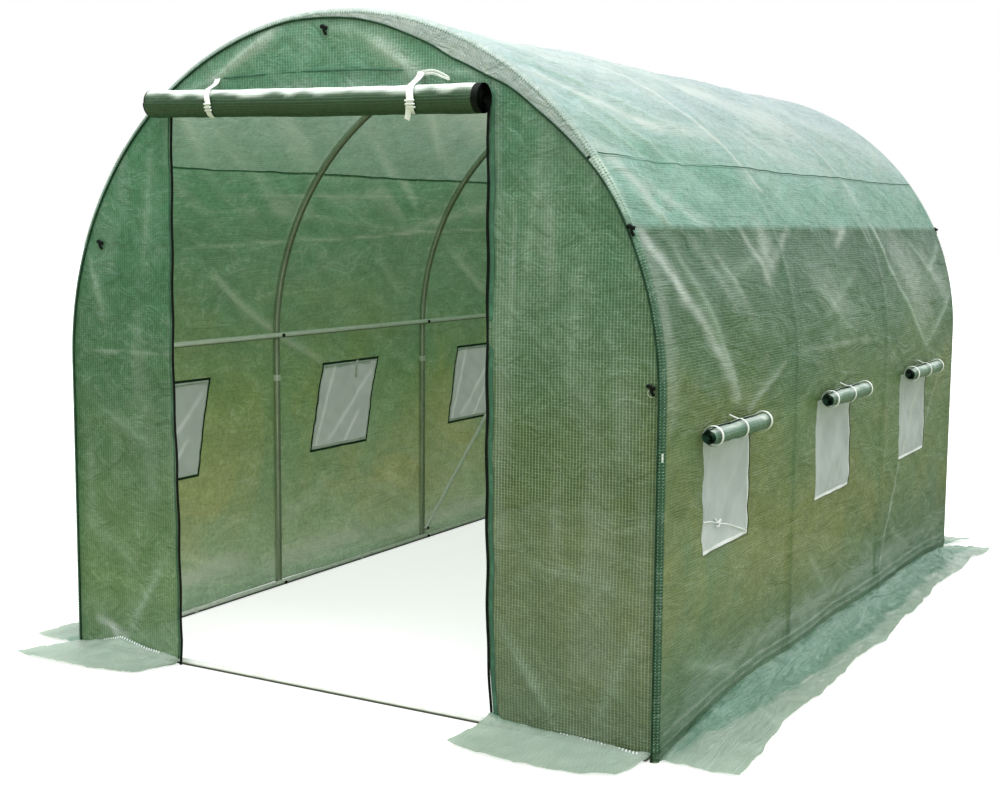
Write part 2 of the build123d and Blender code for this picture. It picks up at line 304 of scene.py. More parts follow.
def sweep(path, profile, side=None, closed=False):
    """Points and faces of a profile swept along a path, with side as its first axis."""
    path = np.asarray(path, float)
    tangents = directions(path)
    if closed:
        tangents = np.roll(path, -1, axis=0) - np.roll(path, 1, axis=0)
        tangents /= np.linalg.norm(tangents, axis=1)[:, None]
    if side is None:
        start = np.array((0, 0, 1.0)) if abs(tangents[0][2]) < 0.9 else np.array((1.0, 0, 0))
        sides = []
        for tangent in tangents:
            start = start - tangent * np.dot(start, tangent)
            start = start / np.linalg.norm(start)
            sides.append(start)
        sides = np.array(sides)
    else:
        sides = np.tile(np.asarray(side, float), (len(path), 1))
        sides = sides - tangents * np.sum(sides * tangents, axis=1)[:, None]
        sides /= np.linalg.norm(sides, axis=1)[:, None]
    ups = np.cross(tangents, sides)
    profile = np.asarray(profile, float)
    points = path[:, None] + sides[:, None] * profile[None, :, :1] + ups[:, None] * profile[None, :, 1:]
    count = len(profile)
    faces = grid_faces(len(path), count, closed=True).tolist()
    last = (len(path) - 1) * count
    if closed:
        faces += [[last + n, last + (n + 1) % count, (n + 1) % count, n] for n in range(count)]
    else:
        faces += [list(range(count))[::-1], [last + n for n in range(count)]]
    return points.reshape(-1, 3), faces


def joined(parts):
    """Points and faces of several shapes as one."""
    points = []
    faces = []
    for more_points, more_faces in parts:
        first = sum(len(p) for p in points)
        points.append(more_points)
        faces += [[first + n for n in face] for face in more_faces]
    return np.vstack(points), faces


def trim(name, parts, material, node=None):
    """A piece of joined shapes, in place of a node of the frame where one is named."""
    piece = mesh_piece(name, *joined(parts), materials=[material])
    if node:
        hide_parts(node)


def round_profile(radius, count):
    """A circle's points."""
    turns = np.linspace(0, 2 * math.pi, count, endpoint=False)
    return np.stack([np.cos(turns), np.sin(turns)], axis=1) * radius


def band_profile(width, thickness):
    """A flat band's section with softened edges."""
    w = width / 2
    t = thickness / 2
    return [(-w, 0), (-w * 0.8, -t), (w * 0.8, -t), (w, 0), (w * 0.8, t), (-w * 0.8, t)]


# Shape of the cover

# Folds that show in the photo: start and end as (arc, along), height and width
RIGHT_FOLDS = [
    ((1.19, -1.33), (1.62, -1.00), 0.006, 0.022),
    ((1.06, -1.40), (1.16, -1.26), 0.007, 0.014),
    ((1.57, -0.65), (1.66, -0.88), 0.004, 0.012),
    ((1.13, 0.56), (1.33, 0.63), 0.007, 0.014),
    ((1.33, 0.63), (1.63, 1.06), 0.008, 0.014),
    ((1.63, 1.06), (1.42, 1.50), 0.006, 0.016),
    ((1.14, 0.40), (1.22, 0.47), 0.006, 0.012),
    ((1.30, -0.95), (1.24, -0.70), 0.004, 0.016),
    ((1.22, -1.05), (1.36, -0.90), 0.004, 0.018),
    ((1.33, -0.30), (1.52, 0.10), 0.003, 0.020),
    ((1.45, -0.20), (1.30, 0.25), 0.003, 0.018),
    ((1.20, 1.02), (1.40, 1.30), 0.005, 0.016),
    ((1.22, 1.45), (1.34, 1.18), 0.006, 0.014),
    ((2.30, -1.35), (2.46, -0.95), 0.004, 0.020),
    ((2.20, -0.35), (2.40, -0.10), 0.003, 0.020),
    ((2.28, 0.62), (2.42, 0.90), 0.003, 0.020),
]
LEFT_FOLDS = [
    ((1.33, -0.92), (1.70, -0.24), 0.006, 0.018),
    ((1.10, -0.70), (1.20, 0.45), 0.004, 0.016),
    ((1.25, 0.60), (1.55, 1.15), 0.006, 0.016),
    ((1.60, 1.10), (1.30, 1.45), 0.005, 0.016),
    ((1.15, -1.40), (1.55, -1.10), 0.006, 0.018),
    ((1.40, -0.45), (1.25, -0.10), 0.004, 0.016),
    ((1.28, 0.05), (1.50, 0.40), 0.004, 0.018),
    ((2.25, -1.20), (2.42, -0.80), 0.004, 0.020),
    ((2.20, 0.10), (2.36, 0.42), 0.004, 0.020),
]
ROOF_FOLDS = [
    ((0.60, -1.46), (0.94, -0.98), 0.006, 0.016),
    ((0.70, -1.47), (0.93, -1.20), 0.005, 0.014),
    ((0.48, -1.45), (0.80, -0.75), 0.005, 0.018),
    ((0.30, -1.44), (0.62, -0.80), 0.004, 0.020),
    ((0.12, -1.42), (0.40, -0.70), 0.004, 0.022),
    ((0.42, -0.44), (0.80, 0.20), 0.004, 0.018),
    ((0.20, -0.40), (0.50, 0.30), 0.004, 0.020),
    ((0.78, 0.84), (0.94, 0.66), 0.007, 0.014),
    ((0.55, 0.60), (0.86, 1.10), 0.005, 0.016),
    ((0.70, 1.42), (0.90, 1.10), 0.006, 0.016),
    ((-0.30, -1.42), (-0.62, -0.90), 0.004, 0.018),
    ((-0.66, -1.46), (-0.92, -1.12), 0.005, 0.016),
    ((-0.40, -0.40), (-0.85, 0.25), 0.005, 0.018),
    ((-0.25, 0.60), (-0.70, 1.25), 0.005, 0.018),
    ((-0.85, 1.44), (-0.60, 1.10), 0.005, 0.016),
    ((0.00, 0.58), (0.25, 1.30), 0.003, 0.020),
]

# Painted strokes on the film, painted highlight and reflection for a plus and painted shade for a minus:
# start, end, amount, width
RIGHT_STROKES = [
    ((1.17, -1.47), (1.33, -1.31), 0.75, 0.030),
    ((1.30, -1.34), (1.62, -0.99), 0.70, 0.022),
    ((1.22, -1.46), (1.62, -1.46), 0.30, 0.050),
    ((1.15, -0.60), (1.29, -0.65), 0.55, 0.050),
    ((1.15, -0.78), (1.30, -0.66), 0.50, 0.018),
    ((1.15, -0.36), (1.27, -0.60), 0.45, 0.016),
    ((1.20, -1.15), (1.38, -0.96), 0.28, 0.030),
    ((1.24, -1.02), (1.44, -0.82), 0.22, 0.026),
    ((1.15, 0.23), (1.21, 0.09), 0.60, 0.018),
    ((1.15, 0.08), (1.16, 0.22), 0.40, 0.010),
    ((1.24, 0.80), (1.48, 1.08), 0.42, 0.110),
    ((1.30, 1.20), (1.42, 1.42), 0.40, 0.070),
    ((1.14, 0.56), (1.33, 0.66), 0.60, 0.014),
    ((1.30, -0.25), (1.46, 0.05), 0.24, 0.070),
    ((1.54, -0.53), (1.55, 0.39), 0.30, 0.008),
    ((1.68, -0.90), (1.56, -0.60), 0.45, 0.010),
    ((2.05, 0.715), (2.44, 0.490), 0.85, 0.006),
    ((1.78, 1.29), (2.05, 0.98), 0.40, 0.006),
    ((1.20, -0.50), (2.45, -0.52), -0.50, 0.013),
    ((1.24, 0.48), (2.45, 0.44), -0.50, 0.013),
    ((2.40, -1.30), (2.40, 1.40), 0.30, 0.045),
    ((2.46, -1.47), (2.46, 1.47), 0.60, 0.006),
    ((2.49, -1.47), (2.49, 1.47), 0.50, 0.004),
]
LEFT_STROKES = [
    ((1.24, -1.10), (1.16, 1.00), 0.30, 0.005),
    ((1.04, -1.10), (1.02, 0.30), 0.22, 0.005),
    ((1.20, 0.20), (1.06, 0.75), 0.20, 0.024),
    ((1.35, -0.90), (1.70, -0.25), 0.20, 0.012),
    ((1.68, -0.22), (1.78, 0.10), 0.22, 0.007),
    ((1.10, -0.80), (1.02, -0.10), 0.14, 0.040),
    ((1.20, -0.50), (2.45, -0.50), -0.30, 0.013),
    ((1.24, 0.50), (2.45, 0.50), -0.30, 0.013),
    ((2.42, -1.45), (2.40, -0.70), 0.60, 0.040),
    ((2.44, -0.55), (2.42, 0.10), 0.50, 0.036),
    ((2.46, 0.20), (2.44, 1.40), 0.40, 0.030),
    ((2.30, -0.50), (2.16, -0.10), 0.20, 0.026),
]
ROOF_STROKES = [
    ((0.55, -1.47), (0.62, -1.15), -0.55, 0.018),
    ((0.60, -1.20), (0.66, -0.80), -0.55, 0.016),
    ((0.83, -1.40), (0.94, -1.05), -0.60, 0.030),
    ((0.88, -1.20), (0.96, -0.60), -0.75, 0.060),
    ((0.95, -0.80), (1.06, -0.58), -0.50, 0.040),
    ((0.62, -1.46), (0.79, -0.90), 0.75, 0.026),
    ((0.78, -1.00), (0.80, -0.55), 0.50, 0.030),
    ((0.92, -1.45), (1.08, -1.30), 0.70, 0.040),
    ((1.02, -1.30), (1.14, -1.00), 0.40, 0.028),
    ((0.10, -1.40), (0.50, -0.60), 0.55, 0.140),
    ((0.40, -0.68), (1.02, -0.44), 0.85, 0.012),
    ((0.30, -0.45), (0.70, 0.40), 0.75, 0.130),
    ((0.75, -0.30), (0.92, 0.40), 0.35, 0.060),
    ((0.96, -0.20), (1.06, 0.35), -0.35, 0.050),
    ((0.60, 0.44), (1.06, 0.56), 0.50, 0.012),
    ((0.50, 0.70), (0.80, 1.40), 0.35, 0.100),
    ((0.95, 0.70), (1.10, 1.30), -0.35, 0.060),
    ((-0.20, -1.40), (-0.50, -0.60), 0.40, 0.100),
    ((-0.30, -0.40), (-0.70, 0.40), 0.40, 0.100),
    ((-0.40, 0.70), (-0.80, 1.40), 0.35, 0.100),
]

# Painted highlight on the wrapped film at the end hoops, where the tube's top catches light, by degrees from
# the ridge
HEM_TURNS = (-90, -64, -56, -30, -5, 15, 42, 50, 60, 66, 90)
HEM_LIGHT = (0.0, 0.0, 0.30, 0.60, 0.95, 1.0, 0.95, 0.75, 0.45, 0.0, 0.0)


def cover_folds(arc, along):
    """Rise of the cover's sharp folds."""
    rise = np.zeros_like(arc)
    for folds, u in ((RIGHT_FOLDS, arc), (LEFT_FOLDS, -arc), (ROOF_FOLDS, arc)):
        for fold in folds:
            rise += crease(u, along, *fold)
    return rise * FOLD_STRENGTH


def cover_rise(arc, along):
    """How far the cover stands off its drawn line: it sags between hoops and is creased."""
    hoops = np.array(HOOPS)
    bay = hoops[1] - hoops[0]
    place = (along - hoops[0]) / bay
    gap = np.min(np.abs(along[..., None] - hoops), axis=-1)
    belly = np.sin(np.pi * np.clip(place, 0, 3)) ** 2
    depth = SAG + (FRONT_BAY_SAG - SAG) * ((place < 1) & (np.abs(arc) < SEAM_ARC))
    lean = 0.7 + 0.3 * np.cos(arc / COVER)
    rise = -depth * belly * lean
    rise -= 0.004 * (1 - np.exp(-gap / 0.03)) * np.exp(-(gap / 0.25) ** 2)
    free = 1 - np.exp(-(gap / 0.05) ** 2)
    from_fold = np.abs(arc) - FOLD_ARC
    ledge = np.where(arc > 0, *LEDGES) * np.exp(-np.sqrt(from_fold ** 2 + 0.003 ** 2) / 0.018)
    waves = 0.0
    for height, slant, size_round, size_along, seed in COVER_WAVES:
        waves = waves + height * smooth_noise(*leaning(arc, along, slant), size_round, size_along, seed)
    crumple = np.abs(smooth_noise(arc + along, along - arc, 0.020, 0.045, 7))
    waves += CRUMPLE * crumple * np.exp(-((from_fold + 0.01) / 0.035) ** 2)
    hem = 0.0035 * np.exp(-((np.abs(arc) - GROUND_ARC + 0.030) / 0.008) ** 2)
    return rise + free * (cover_folds(arc, along) + ledge + waves) + hem


def cover_sheen(arc, along):
    """Tone of the film's painted strokes of highlight and shade. Past the end hoops, the painted highlight
    on the wrapped film.
    """
    tone = 0.16 * smooth_noise(*leaning(arc, along, STREAK_LEAN), 0.05, 0.40, 24)
    tone = tone * np.clip((FOLD_ARC - np.abs(arc)) / 0.05, 0.3, 1)
    for strokes, u in ((RIGHT_STROKES, arc), (LEFT_STROKES, -arc), (ROOF_STROKES, arc)):
        for line in strokes:
            tone += stroke(u, along, *line)
    degrees = np.degrees(arc / COVER)
    hem = np.interp(degrees, HEM_TURNS, HEM_LIGHT)
    hem = hem * (0.85 + 0.30 * smooth_noise(arc, along, 0.012, 0.010, 25))
    edge = np.interp(np.abs(degrees), (44, 52), (HEM_ARC + FLANGE * PALE_FROM, 0.0))
    edge = np.where(arc > 0, edge, np.minimum(edge, HEM_ARC))
    over = np.maximum(FRONT - along, along - REAR)
    wrapped = np.clip((over - edge + 0.010) / 0.012, 0, 1)
    bent = np.clip((over + 0.004) / 0.020, 0, 1) * (1 - wrapped) * BENT_LIGHT
    return np.clip(tone * (1 - wrapped) + hem * (wrapped + bent), -1, 1)


def cover_sky(arc):
    """Where painted sky light shows on the film: over the shoulder fold on the right, less on the left."""
    right = np.clip((FOLD_ARC - arc) / 0.006 + 0.5, 0, 1)
    left = LEFT_SKY * np.clip((arc + SEAM_ARC + 0.15) / 0.30, 0, 1)
    across = np.clip((arc + 0.12) / 0.30, 0, 1)
    return left * (1 - across) + right * across


def cover_marks(arc, along):
    """The cover's marks for its material."""
    return {"wear_and_highlight": cover_wear_and_highlight(arc, along), "sheen": cover_sheen(arc, along), "sky": cover_sky(arc)}


def cover_wear_and_highlight(arc, along):
    """Paler film along its folds, partly wear and partly painted highlight, and painted light over the hoops
    and in soft streaks.
    """
    gap = np.min(np.abs(along[..., None] - np.array(HOOPS)), axis=-1)
    # rubbed is painted light, a pale line over each hoop, and soft is painted streaks of reflection above
    # the fold
    rubbed = 0.35 * np.exp(-(gap / 0.014) ** 2) * np.clip((SHOULDER_ARC - np.abs(arc)) / 0.3, 0, 1)
    soft = 0.25 * np.clip(smooth_noise(*leaning(arc, along, STREAK_LEAN), 0.05, 0.35, 14), 0, 1)
    soft = soft * np.clip((FOLD_ARC - np.abs(arc)) / 0.1, 0, 1)
    folds = whitened(cover_folds(arc, along)) * np.where(arc < -SEAM_ARC, 0.45, 1.0)
    return np.clip(folds + rubbed + soft, 0, 1)


def wall_foot(along):
    """(inward, up) of the wall's lower edge, which is pulled up between the corners."""
    place = (along - HOOPS[0]) / (HOOPS[1] - HOOPS[0])
    bow = np.sin(np.pi * np.clip(place, 0, 3)) ** 2
    return FOOT_INWARD * bow, np.interp(along, FOOT_PLACES, FOOT_HEIGHTS)


def flange_reach(arc):
    """How far the sewn edge reaches down the end face at an arc."""
    degrees = np.degrees(np.clip(arc, -SHOULDER_ARC, SHOULDER_ARC) / COVER)
    return np.interp(degrees, FLANGE_TURNS, FLANGE_REACH)


def cover_point(arc, along):
    """Points of the cover. Past the end hoops, along goes on round the tube and down the end face."""
    arc, along = np.broadcast_arrays(np.asarray(arc, float), np.asarray(along, float))
    inner = np.clip(along, FRONT, REAR)
    over = np.abs(along - inner)
    turn = np.clip(over / WRAP, 0, math.pi / 2)
    down = np.clip(over - HEM_ARC, 0, None) * flange_reach(arc) / FLANGE
    reach = HOOP + WRAP * np.cos(turn) - down
    y = inner + np.sign(along - inner) * WRAP * np.sin(turn)
    reach = reach + cover_rise(arc, inner) * (over == 0)
    side = np.sign(arc)
    angle = np.clip(np.abs(arc), 0, SHOULDER_ARC) / COVER
    drop = np.clip(np.abs(arc) - SHOULDER_ARC, 0, None)
    x = side * reach * np.sin(angle)
    z = SPRING + reach * np.cos(angle) - drop
    inward, up = wall_foot(inner)
    low = np.clip(1 - z / 0.35, 0, 1) ** 2
    x = x - side * inward * low * (over == 0)
    z = z + np.where(arc > 0, 1.0, LEFT_FOOT) * up * np.clip(1 - z / 0.2, 0, 1)
    return np.stack([x, y, z], axis=-1)


def window_lean(along, height, windows):
    """How far the cloth is drawn along the wall, so that its windows lean."""
    shift = np.zeros_like(along)
    for centre, width, lean in windows:
        reach = np.clip(1 - (np.abs(along - centre) - width / 2) / 0.25, 0, 1)
        reach = reach * reach * (3 - 2 * reach)
        level = np.clip((height - SILL) / (HEAD - SILL), -0.6, 1.6) - 0.5
        fade = np.clip(1.6 - np.abs(level), 0, 1)
        shift += lean * level * reach * fade
    return shift


# Materials

class Shader:
    """Short calls that build the nodes of one material, or of the world."""

    def __init__(self, owner):
        self.owner = owner
        self.owner.use_nodes = True
        self.tree = owner.node_tree
        self.tree.nodes.clear()

    def add(self, kind, inputs=(), **settings):
        """A node with its settings, and its inputs as (name or number, value or socket) pairs."""
        made = self.tree.nodes.new("ShaderNode" + kind)
        for key, value in settings.items():
            setattr(made, key, value)
        for key, value in inputs:
            if isinstance(value, bpy.types.NodeSocket):
                self.tree.links.new(value, made.inputs[key])
            else:
                made.inputs[key].default_value = value
        return made

    def math(self, operation, a, b=0.0):
        """One sum."""
        return self.add("Math", [(0, a), (1, b)], operation=operation).outputs[0]

    def noise(self, vector, scale, detail, roughness=0.5, distortion=0.0):
        """Noise from 0 to 1."""
        values = [("Vector", vector), ("Scale", scale), ("Detail", detail), ("Roughness", roughness),
                  ("Distortion", distortion)]
        return self.add("TexNoise", values).outputs[0]

    def stretch(self, vector, factors):
        """A vector scaled along each axis."""
        return self.add("VectorMath", [(0, vector), (1, factors)], operation="MULTIPLY").outputs[0]

    def fit(self, value, low, high, to_low=0.0, to_high=1.0):
        """A value moved from one range to another, clamped."""
        values = [("Value", value), ("From Min", low), ("From Max", high), ("To Min", to_low),
                  ("To Max", to_high)]
        return self.add("MapRange", values, clamp=True).outputs[0]

    def ramp(self, value, stops):
        """A colour ramp with (place, colour) stops."""
        made = self.add("ValToRGB", [(0, value)])
        while len(made.color_ramp.elements) < len(stops):
            made.color_ramp.elements.new(0.5)
        for element, (place, colour) in zip(made.color_ramp.elements, stops):
            element.position = place
            element.color = (*colour, 1)
        return made.outputs[0]

    def blend(self, factor, a, b, mode="MIX"):
        """A mix of two colours."""
        made = self.add("Mix", data_type="RGBA", blend_type=mode, clamp_factor=True)
        for socket, value in ((made.inputs[0], factor), (made.inputs[6], a), (made.inputs[7], b)):
            if isinstance(value, bpy.types.NodeSocket):
                self.tree.links.new(value, socket)
            else:
                socket.default_value = (*value, 1) if isinstance(value, tuple) else value
        return made.outputs[2]

    def bump(self, height, distance, normal=None):
        """A normal from a height in metres."""
        values = [("Height", height), ("Distance", distance)]
        if normal is not None:
            values.append(("Normal", normal))
        return self.add("Bump", values).outputs[0]

    def grid(self, pitches, thick, strengths):
        """The threads of a cloth, from 0 between them to their own strengths."""
        uv = self.add("UVMap", uv_map="threads").outputs[0]
        parts = self.add("SeparateXYZ", [(0, uv)]).outputs
        warp, weft = (
            self.fit(self.math("PINGPONG", part, pitch / 2), 0.0, pitch * thick, strength, 0.0)
            for part, pitch, strength in zip(parts, pitches, strengths)
        )
        return self.math("MAXIMUM", warp, weft)

    def mark(self, name):
        """One of the marks that a piece's points carry."""
        return self.add("Attribute", attribute_name=name).outputs["Fac"]

    def finish(self, shader, kind="OutputMaterial"):
        """Ends the nodes with this shader."""
        self.add(kind, [("Surface", shader)])
        return self.owner


def new_material(name):
    """The nodes of a new material."""
    return Shader(bpy.data.materials.new(name))


def height_ramp(s, level, stops):
    """A ramp of colours or strengths by height in metres, for a level that runs from 0 to 1."""
    return s.ramp(level, [(z / TALLEST, (value,) * 3 if isinstance(value, float) else value)
                          for z, value in stops])


# Tints of the film's painted olive grass light, painted patchy reflection, shades (the deep one painted
# shade), threads and light, and the height that is 1 in its ramps
TALLEST = 2.0
OLIVE_GRASS_LIGHT = (1.62, 1.12, 0.82)
PATCHY_REFLECTION = (1.55, 1.45, 1.60)
FINE_SHADE = (0.62, 0.66, 0.60)
DEEP_SHADE = (0.42, 0.74, 0.58)
CELL_SHADE = (0.44, 0.48, 0.42)
GLOW_TINT = (1.35, 1.20, 1.05)
THREAD_TINT = (0.50, 0.64, 0.46)
SEEN_THROUGH = (0.72, 0.92, 0.76, 1)


def film_material(name, heights, weave, high=None, left=None, through=0.28, clear=0.10, gloss=0.45,
                  warps=0.55, wefts=1.0, pale=(0.50, 0.64, 0.55), light=(0.60, 0.67, 0.65), olive=0.0,
                  left_weave=1.0, wrinkle_highlights=0.26, relief=0.014):
    """Green reinforced film: pale threads in a darker film, crinkled, lit from both sides.

    heights gives its colours from the ground up, left those of the left half, high those of the painted sky
    light.
    weave gives how much the threads stand out from the ground up, and left_weave its share on the left.
    """
    s = new_material(name)
    place = s.add("TexCoord").outputs["Object"]
    threads = s.grid((WARP_PITCH, WEFT_PITCH), 0.21, (warps, wefts))
    spot = s.add("SeparateXYZ", [(0, place)])
    height = s.fit(spot.outputs[2], 0.0, TALLEST)
    drift = s.noise(place, 1.7, 2.0, 0.6)
    level = s.math("ADD", height, s.fit(drift, 0.3, 0.7, -0.05, 0.05))
    colour = height_ramp(s, level, heights)
    contrast = height_ramp(s, level, weave)
    if left is not None:
        colour = s.blend(s.fit(spot.outputs[0], -0.45, 0.35), height_ramp(s, level, left), colour)
        contrast = s.math("MULTIPLY", contrast, s.fit(spot.outputs[0], -0.62, -0.50, left_weave, 1.0))
    # Painted light: olive patches low on the walls stand for light from the grass seen through the film
    if olive:
        grass_lit_patches = s.fit(s.noise(place, 1.5, 3.0, 0.6, 0.8), 0.46, 0.62)
        reach = s.math("MULTIPLY", s.fit(height, 0.62, 0.47), s.fit(height, 0.05, 0.17))
        reach = s.math("MULTIPLY", reach, olive)
        colour = s.blend(s.math("MULTIPLY", grass_lit_patches, reach), colour, OLIVE_GRASS_LIGHT, mode="MULTIPLY")
    if high is not None:
        colour = s.blend(s.mark("sky"), colour, height_ramp(s, height, high))
    # Painted reflection: patches where the film is brighter, for its gloss catching the light unevenly
    patches = s.noise(s.stretch(place, (1.0, 1.0, 1.6)), 6.0, 4.0, 0.65, 0.6)
    colour = s.blend(s.fit(patches, 0.42, 0.72, 0.0, 0.55), colour, PATCHY_REFLECTION, mode="MULTIPLY")
    fine = s.noise(place, 70.0, 3.0, 0.7)
    colour = s.blend(s.fit(fine, 0.35, 0.65, 0.0, 0.75), colour, FINE_SHADE, mode="MULTIPLY")
    turned = s.add("Mapping", [("Vector", place), ("Rotation", (0.6, 0.0, 0.6)),
                               ("Scale", (14.0, 3.6, 14.0))])
    wrinkle = s.noise(turned.outputs[0], 1.0, 4.0, 0.62, 0.8)
    # Painted highlight: pale lines along the wrinkles, where the crinkled film catches the light
    lines = s.fit(s.math("ABSOLUTE", s.math("SUBTRACT", wrinkle, 0.5)), 0.0, 0.020, 1.0, 0.0)
    lines = s.math("MULTIPLY", lines, s.fit(patches, 0.35, 0.65, wrinkle_highlights * 0.15, wrinkle_highlights))
    colour = s.blend(lines, colour, light)
    # The sheen mark is painted light for a plus and, through DEEP_SHADE, painted shade for a minus
    sheen = s.mark("sheen")
    colour = s.blend(s.fit(sheen, 0.0, -1.0), colour, DEEP_SHADE, mode="MULTIPLY")
    colour = s.blend(s.math("MULTIPLY", s.mark("wear_and_highlight"), 0.60), colour, pale)
    colour = s.blend(s.fit(sheen, 0.0, 1.0), colour, light)
    cell = s.blend(contrast, colour, CELL_SHADE, mode="MULTIPLY")
    thread = s.blend(s.math("MULTIPLY", contrast, 0.42), colour, THREAD_TINT)
    colour = s.blend(threads, cell, thread)
    normal = s.bump(wrinkle, relief)
    normal = s.bump(threads, 0.0006, normal)
    rough = s.fit(fine, 0.3, 0.7, 0.30, 0.48)
    skin = s.add("BsdfPrincipled", [("Base Color", colour), ("Roughness", rough), ("Normal", normal),
                                    ("Specular IOR Level", gloss)]).outputs[0]
    glow_colour = s.blend(1.0, colour, GLOW_TINT, mode="MULTIPLY")
    glow = s.add("BsdfTranslucent", [("Color", glow_colour), ("Normal", normal)]).outputs[0]
    film = s.add("MixShader", [(0, through), (1, skin), (2, glow)]).outputs[0]
    if not clear:
        return s.finish(film)
    see = s.add("BsdfTransparent", [("Color", SEEN_THROUGH)]).outputs[0]
    open_cell = s.math("MULTIPLY", s.math("SUBTRACT", 1.0, threads), clear)
    return s.finish(s.add("MixShader", [(0, open_cell), (1, film), (2, see)]).outputs[0])


def net_material(name, tint, open_share):
    """Fine white net: part open, part thread."""
    s = new_material(name)
    place = s.add("TexCoord").outputs["Object"]
    threads = s.grid((NET_PITCH, NET_PITCH), 0.3, (1.0, 1.0))
    folds = s.noise(place, 9.0, 2.0)
    shaded = tuple(c * 0.82 for c in tint)
    colour = s.blend(s.fit(folds, 0.35, 0.65, 0.0, 0.8), tint, shaded)
    colour = s.blend(s.mark("wear_and_highlight"), colour, (0.86, 0.89, 0.89))
    skin = s.add("BsdfPrincipled", [("Base Color", colour), ("Roughness", 0.7),
                                    ("Normal", s.bump(threads, 0.0004))]).outputs[0]
    glow = s.add("BsdfTranslucent", [("Color", colour)]).outputs[0]
    cloth = s.add("MixShader", [(0, 0.40), (1, skin), (2, glow)]).outputs[0]
    see = s.add("BsdfTransparent", [("Color", (1, 1, 1, 1))]).outputs[0]
    hole = s.math("MULTIPLY", s.math("SUBTRACT", 1.0, threads), open_share)
    return s.finish(s.add("MixShader", [(0, hole), (1, cloth), (2, see)]).outputs[0])


def webbing_material(name, tint, dark):
    """Woven tape: fine ribs and a little grime."""
    s = new_material(name)
    place = s.add("TexCoord").outputs["Object"]
    ribs = s.add("TexWave", [("Vector", place), ("Scale", 160.0), ("Distortion", 0.6), ("Detail", 1.0)],
                 bands_direction="DIAGONAL").outputs["Fac"]
    grime = s.noise(place, 18.0, 4.0, 0.65)
    colour = s.blend(s.fit(grime, 0.4, 0.75, 0.0, 0.6), tint, dark)
    colour = s.blend(s.math("MULTIPLY", ribs, 0.18), colour, dark)
    skin = s.add("BsdfPrincipled", [("Base Color", colour), ("Roughness", 0.72),
                                    ("Normal", s.bump(ribs, 0.0004))]).outputs[0]
    return s.finish(skin)


def steel_material(name, tint, dark, metal=0.85, grime=0.5, shaded_facing=(0.05, -0.55)):
    """Galvanised tube: grey zinc with soft spangle, streaks, matt spots, and painted shade on its underside.
    """
    s = new_material(name)
    place = s.add("TexCoord").outputs["Object"]
    spangle = s.add("TexVoronoi", [("Vector", place), ("Scale", 110.0)]).outputs["Color"]
    grey = s.add("SeparateColor", [(0, spangle)]).outputs[0]
    stains = s.noise(s.stretch(place, (1, 1, 0.3)), 22.0, 5.0, 0.65)
    colour = s.blend(s.fit(stains, 0.45, 0.75, 0.0, 0.7), tint, dark)
    colour = s.blend(s.math("MULTIPLY", grey, 0.15), colour, (0.85, 0.87, 0.88))
    # Painted shade: faces that turn down are darkened towards near black, by the share set in grime
    facing = s.add("SeparateXYZ", [(0, s.add("NewGeometry").outputs["True Normal"])]).outputs[2]
    under = s.math("MULTIPLY", s.fit(facing, *shaded_facing), grime)
    colour = s.blend(under, colour, (0.045, 0.055, 0.040))
    rough = s.fit(stains, 0.3, 0.7, 0.32, 0.55)
    skin = s.add("BsdfPrincipled", [("Base Color", colour), ("Metallic", metal), ("Roughness", rough),
                                    ("Normal", s.bump(grey, 0.0002))]).outputs[0]
    return s.finish(skin)


def plastic_material(name, tint, rough):
    """Dark moulded plastic, coated tape or thread with a fine grain."""
    s = new_material(name)
    place = s.add("TexCoord").outputs["Object"]
    grain = s.noise(place, 240.0, 3.0)
    wear = s.noise(place, 30.0, 3.0)
    rubbed = tuple(c * 2.2 + 0.003 for c in tint)
    colour = s.blend(s.fit(wear, 0.45, 0.75, 0.0, 0.5), tint, rubbed)
    skin = s.add("BsdfPrincipled", [("Base Color", colour), ("Roughness", rough),
                                    ("Specular IOR Level", 0.08),
                                    ("Normal", s.bump(grain, 0.0004))]).outputs[0]
    return s.finish(skin)


# Colours of the film from the ground up, by height in metres. They hold painted light and shade: olive lower
# walls for light from the grass, paler film near the ground on the left and end panels, darker film under
# the shoulder fold, and paler tops and hem for light from the sky
RIGHT_HEIGHTS = [
    (0.00, (0.105, 0.215, 0.135)),
    (0.16, (0.118, 0.212, 0.118)),
    (0.42, (0.160, 0.246, 0.102)),
    (0.85, (0.132, 0.222, 0.090)),
    (1.02, (0.078, 0.182, 0.086)),
    (1.30, (0.028, 0.124, 0.050)),
]
LEFT_HEIGHTS = [
    (0.00, (0.430, 0.610, 0.470)),
    (0.12, (0.400, 0.550, 0.390)),
    (0.30, (0.300, 0.440, 0.285)),
    (0.75, (0.178, 0.332, 0.178)),
    (1.02, (0.150, 0.304, 0.190)),
    (1.30, (0.128, 0.278, 0.168)),
    (1.50, (0.118, 0.285, 0.172)),
    (2.00, (0.140, 0.320, 0.185)),
]
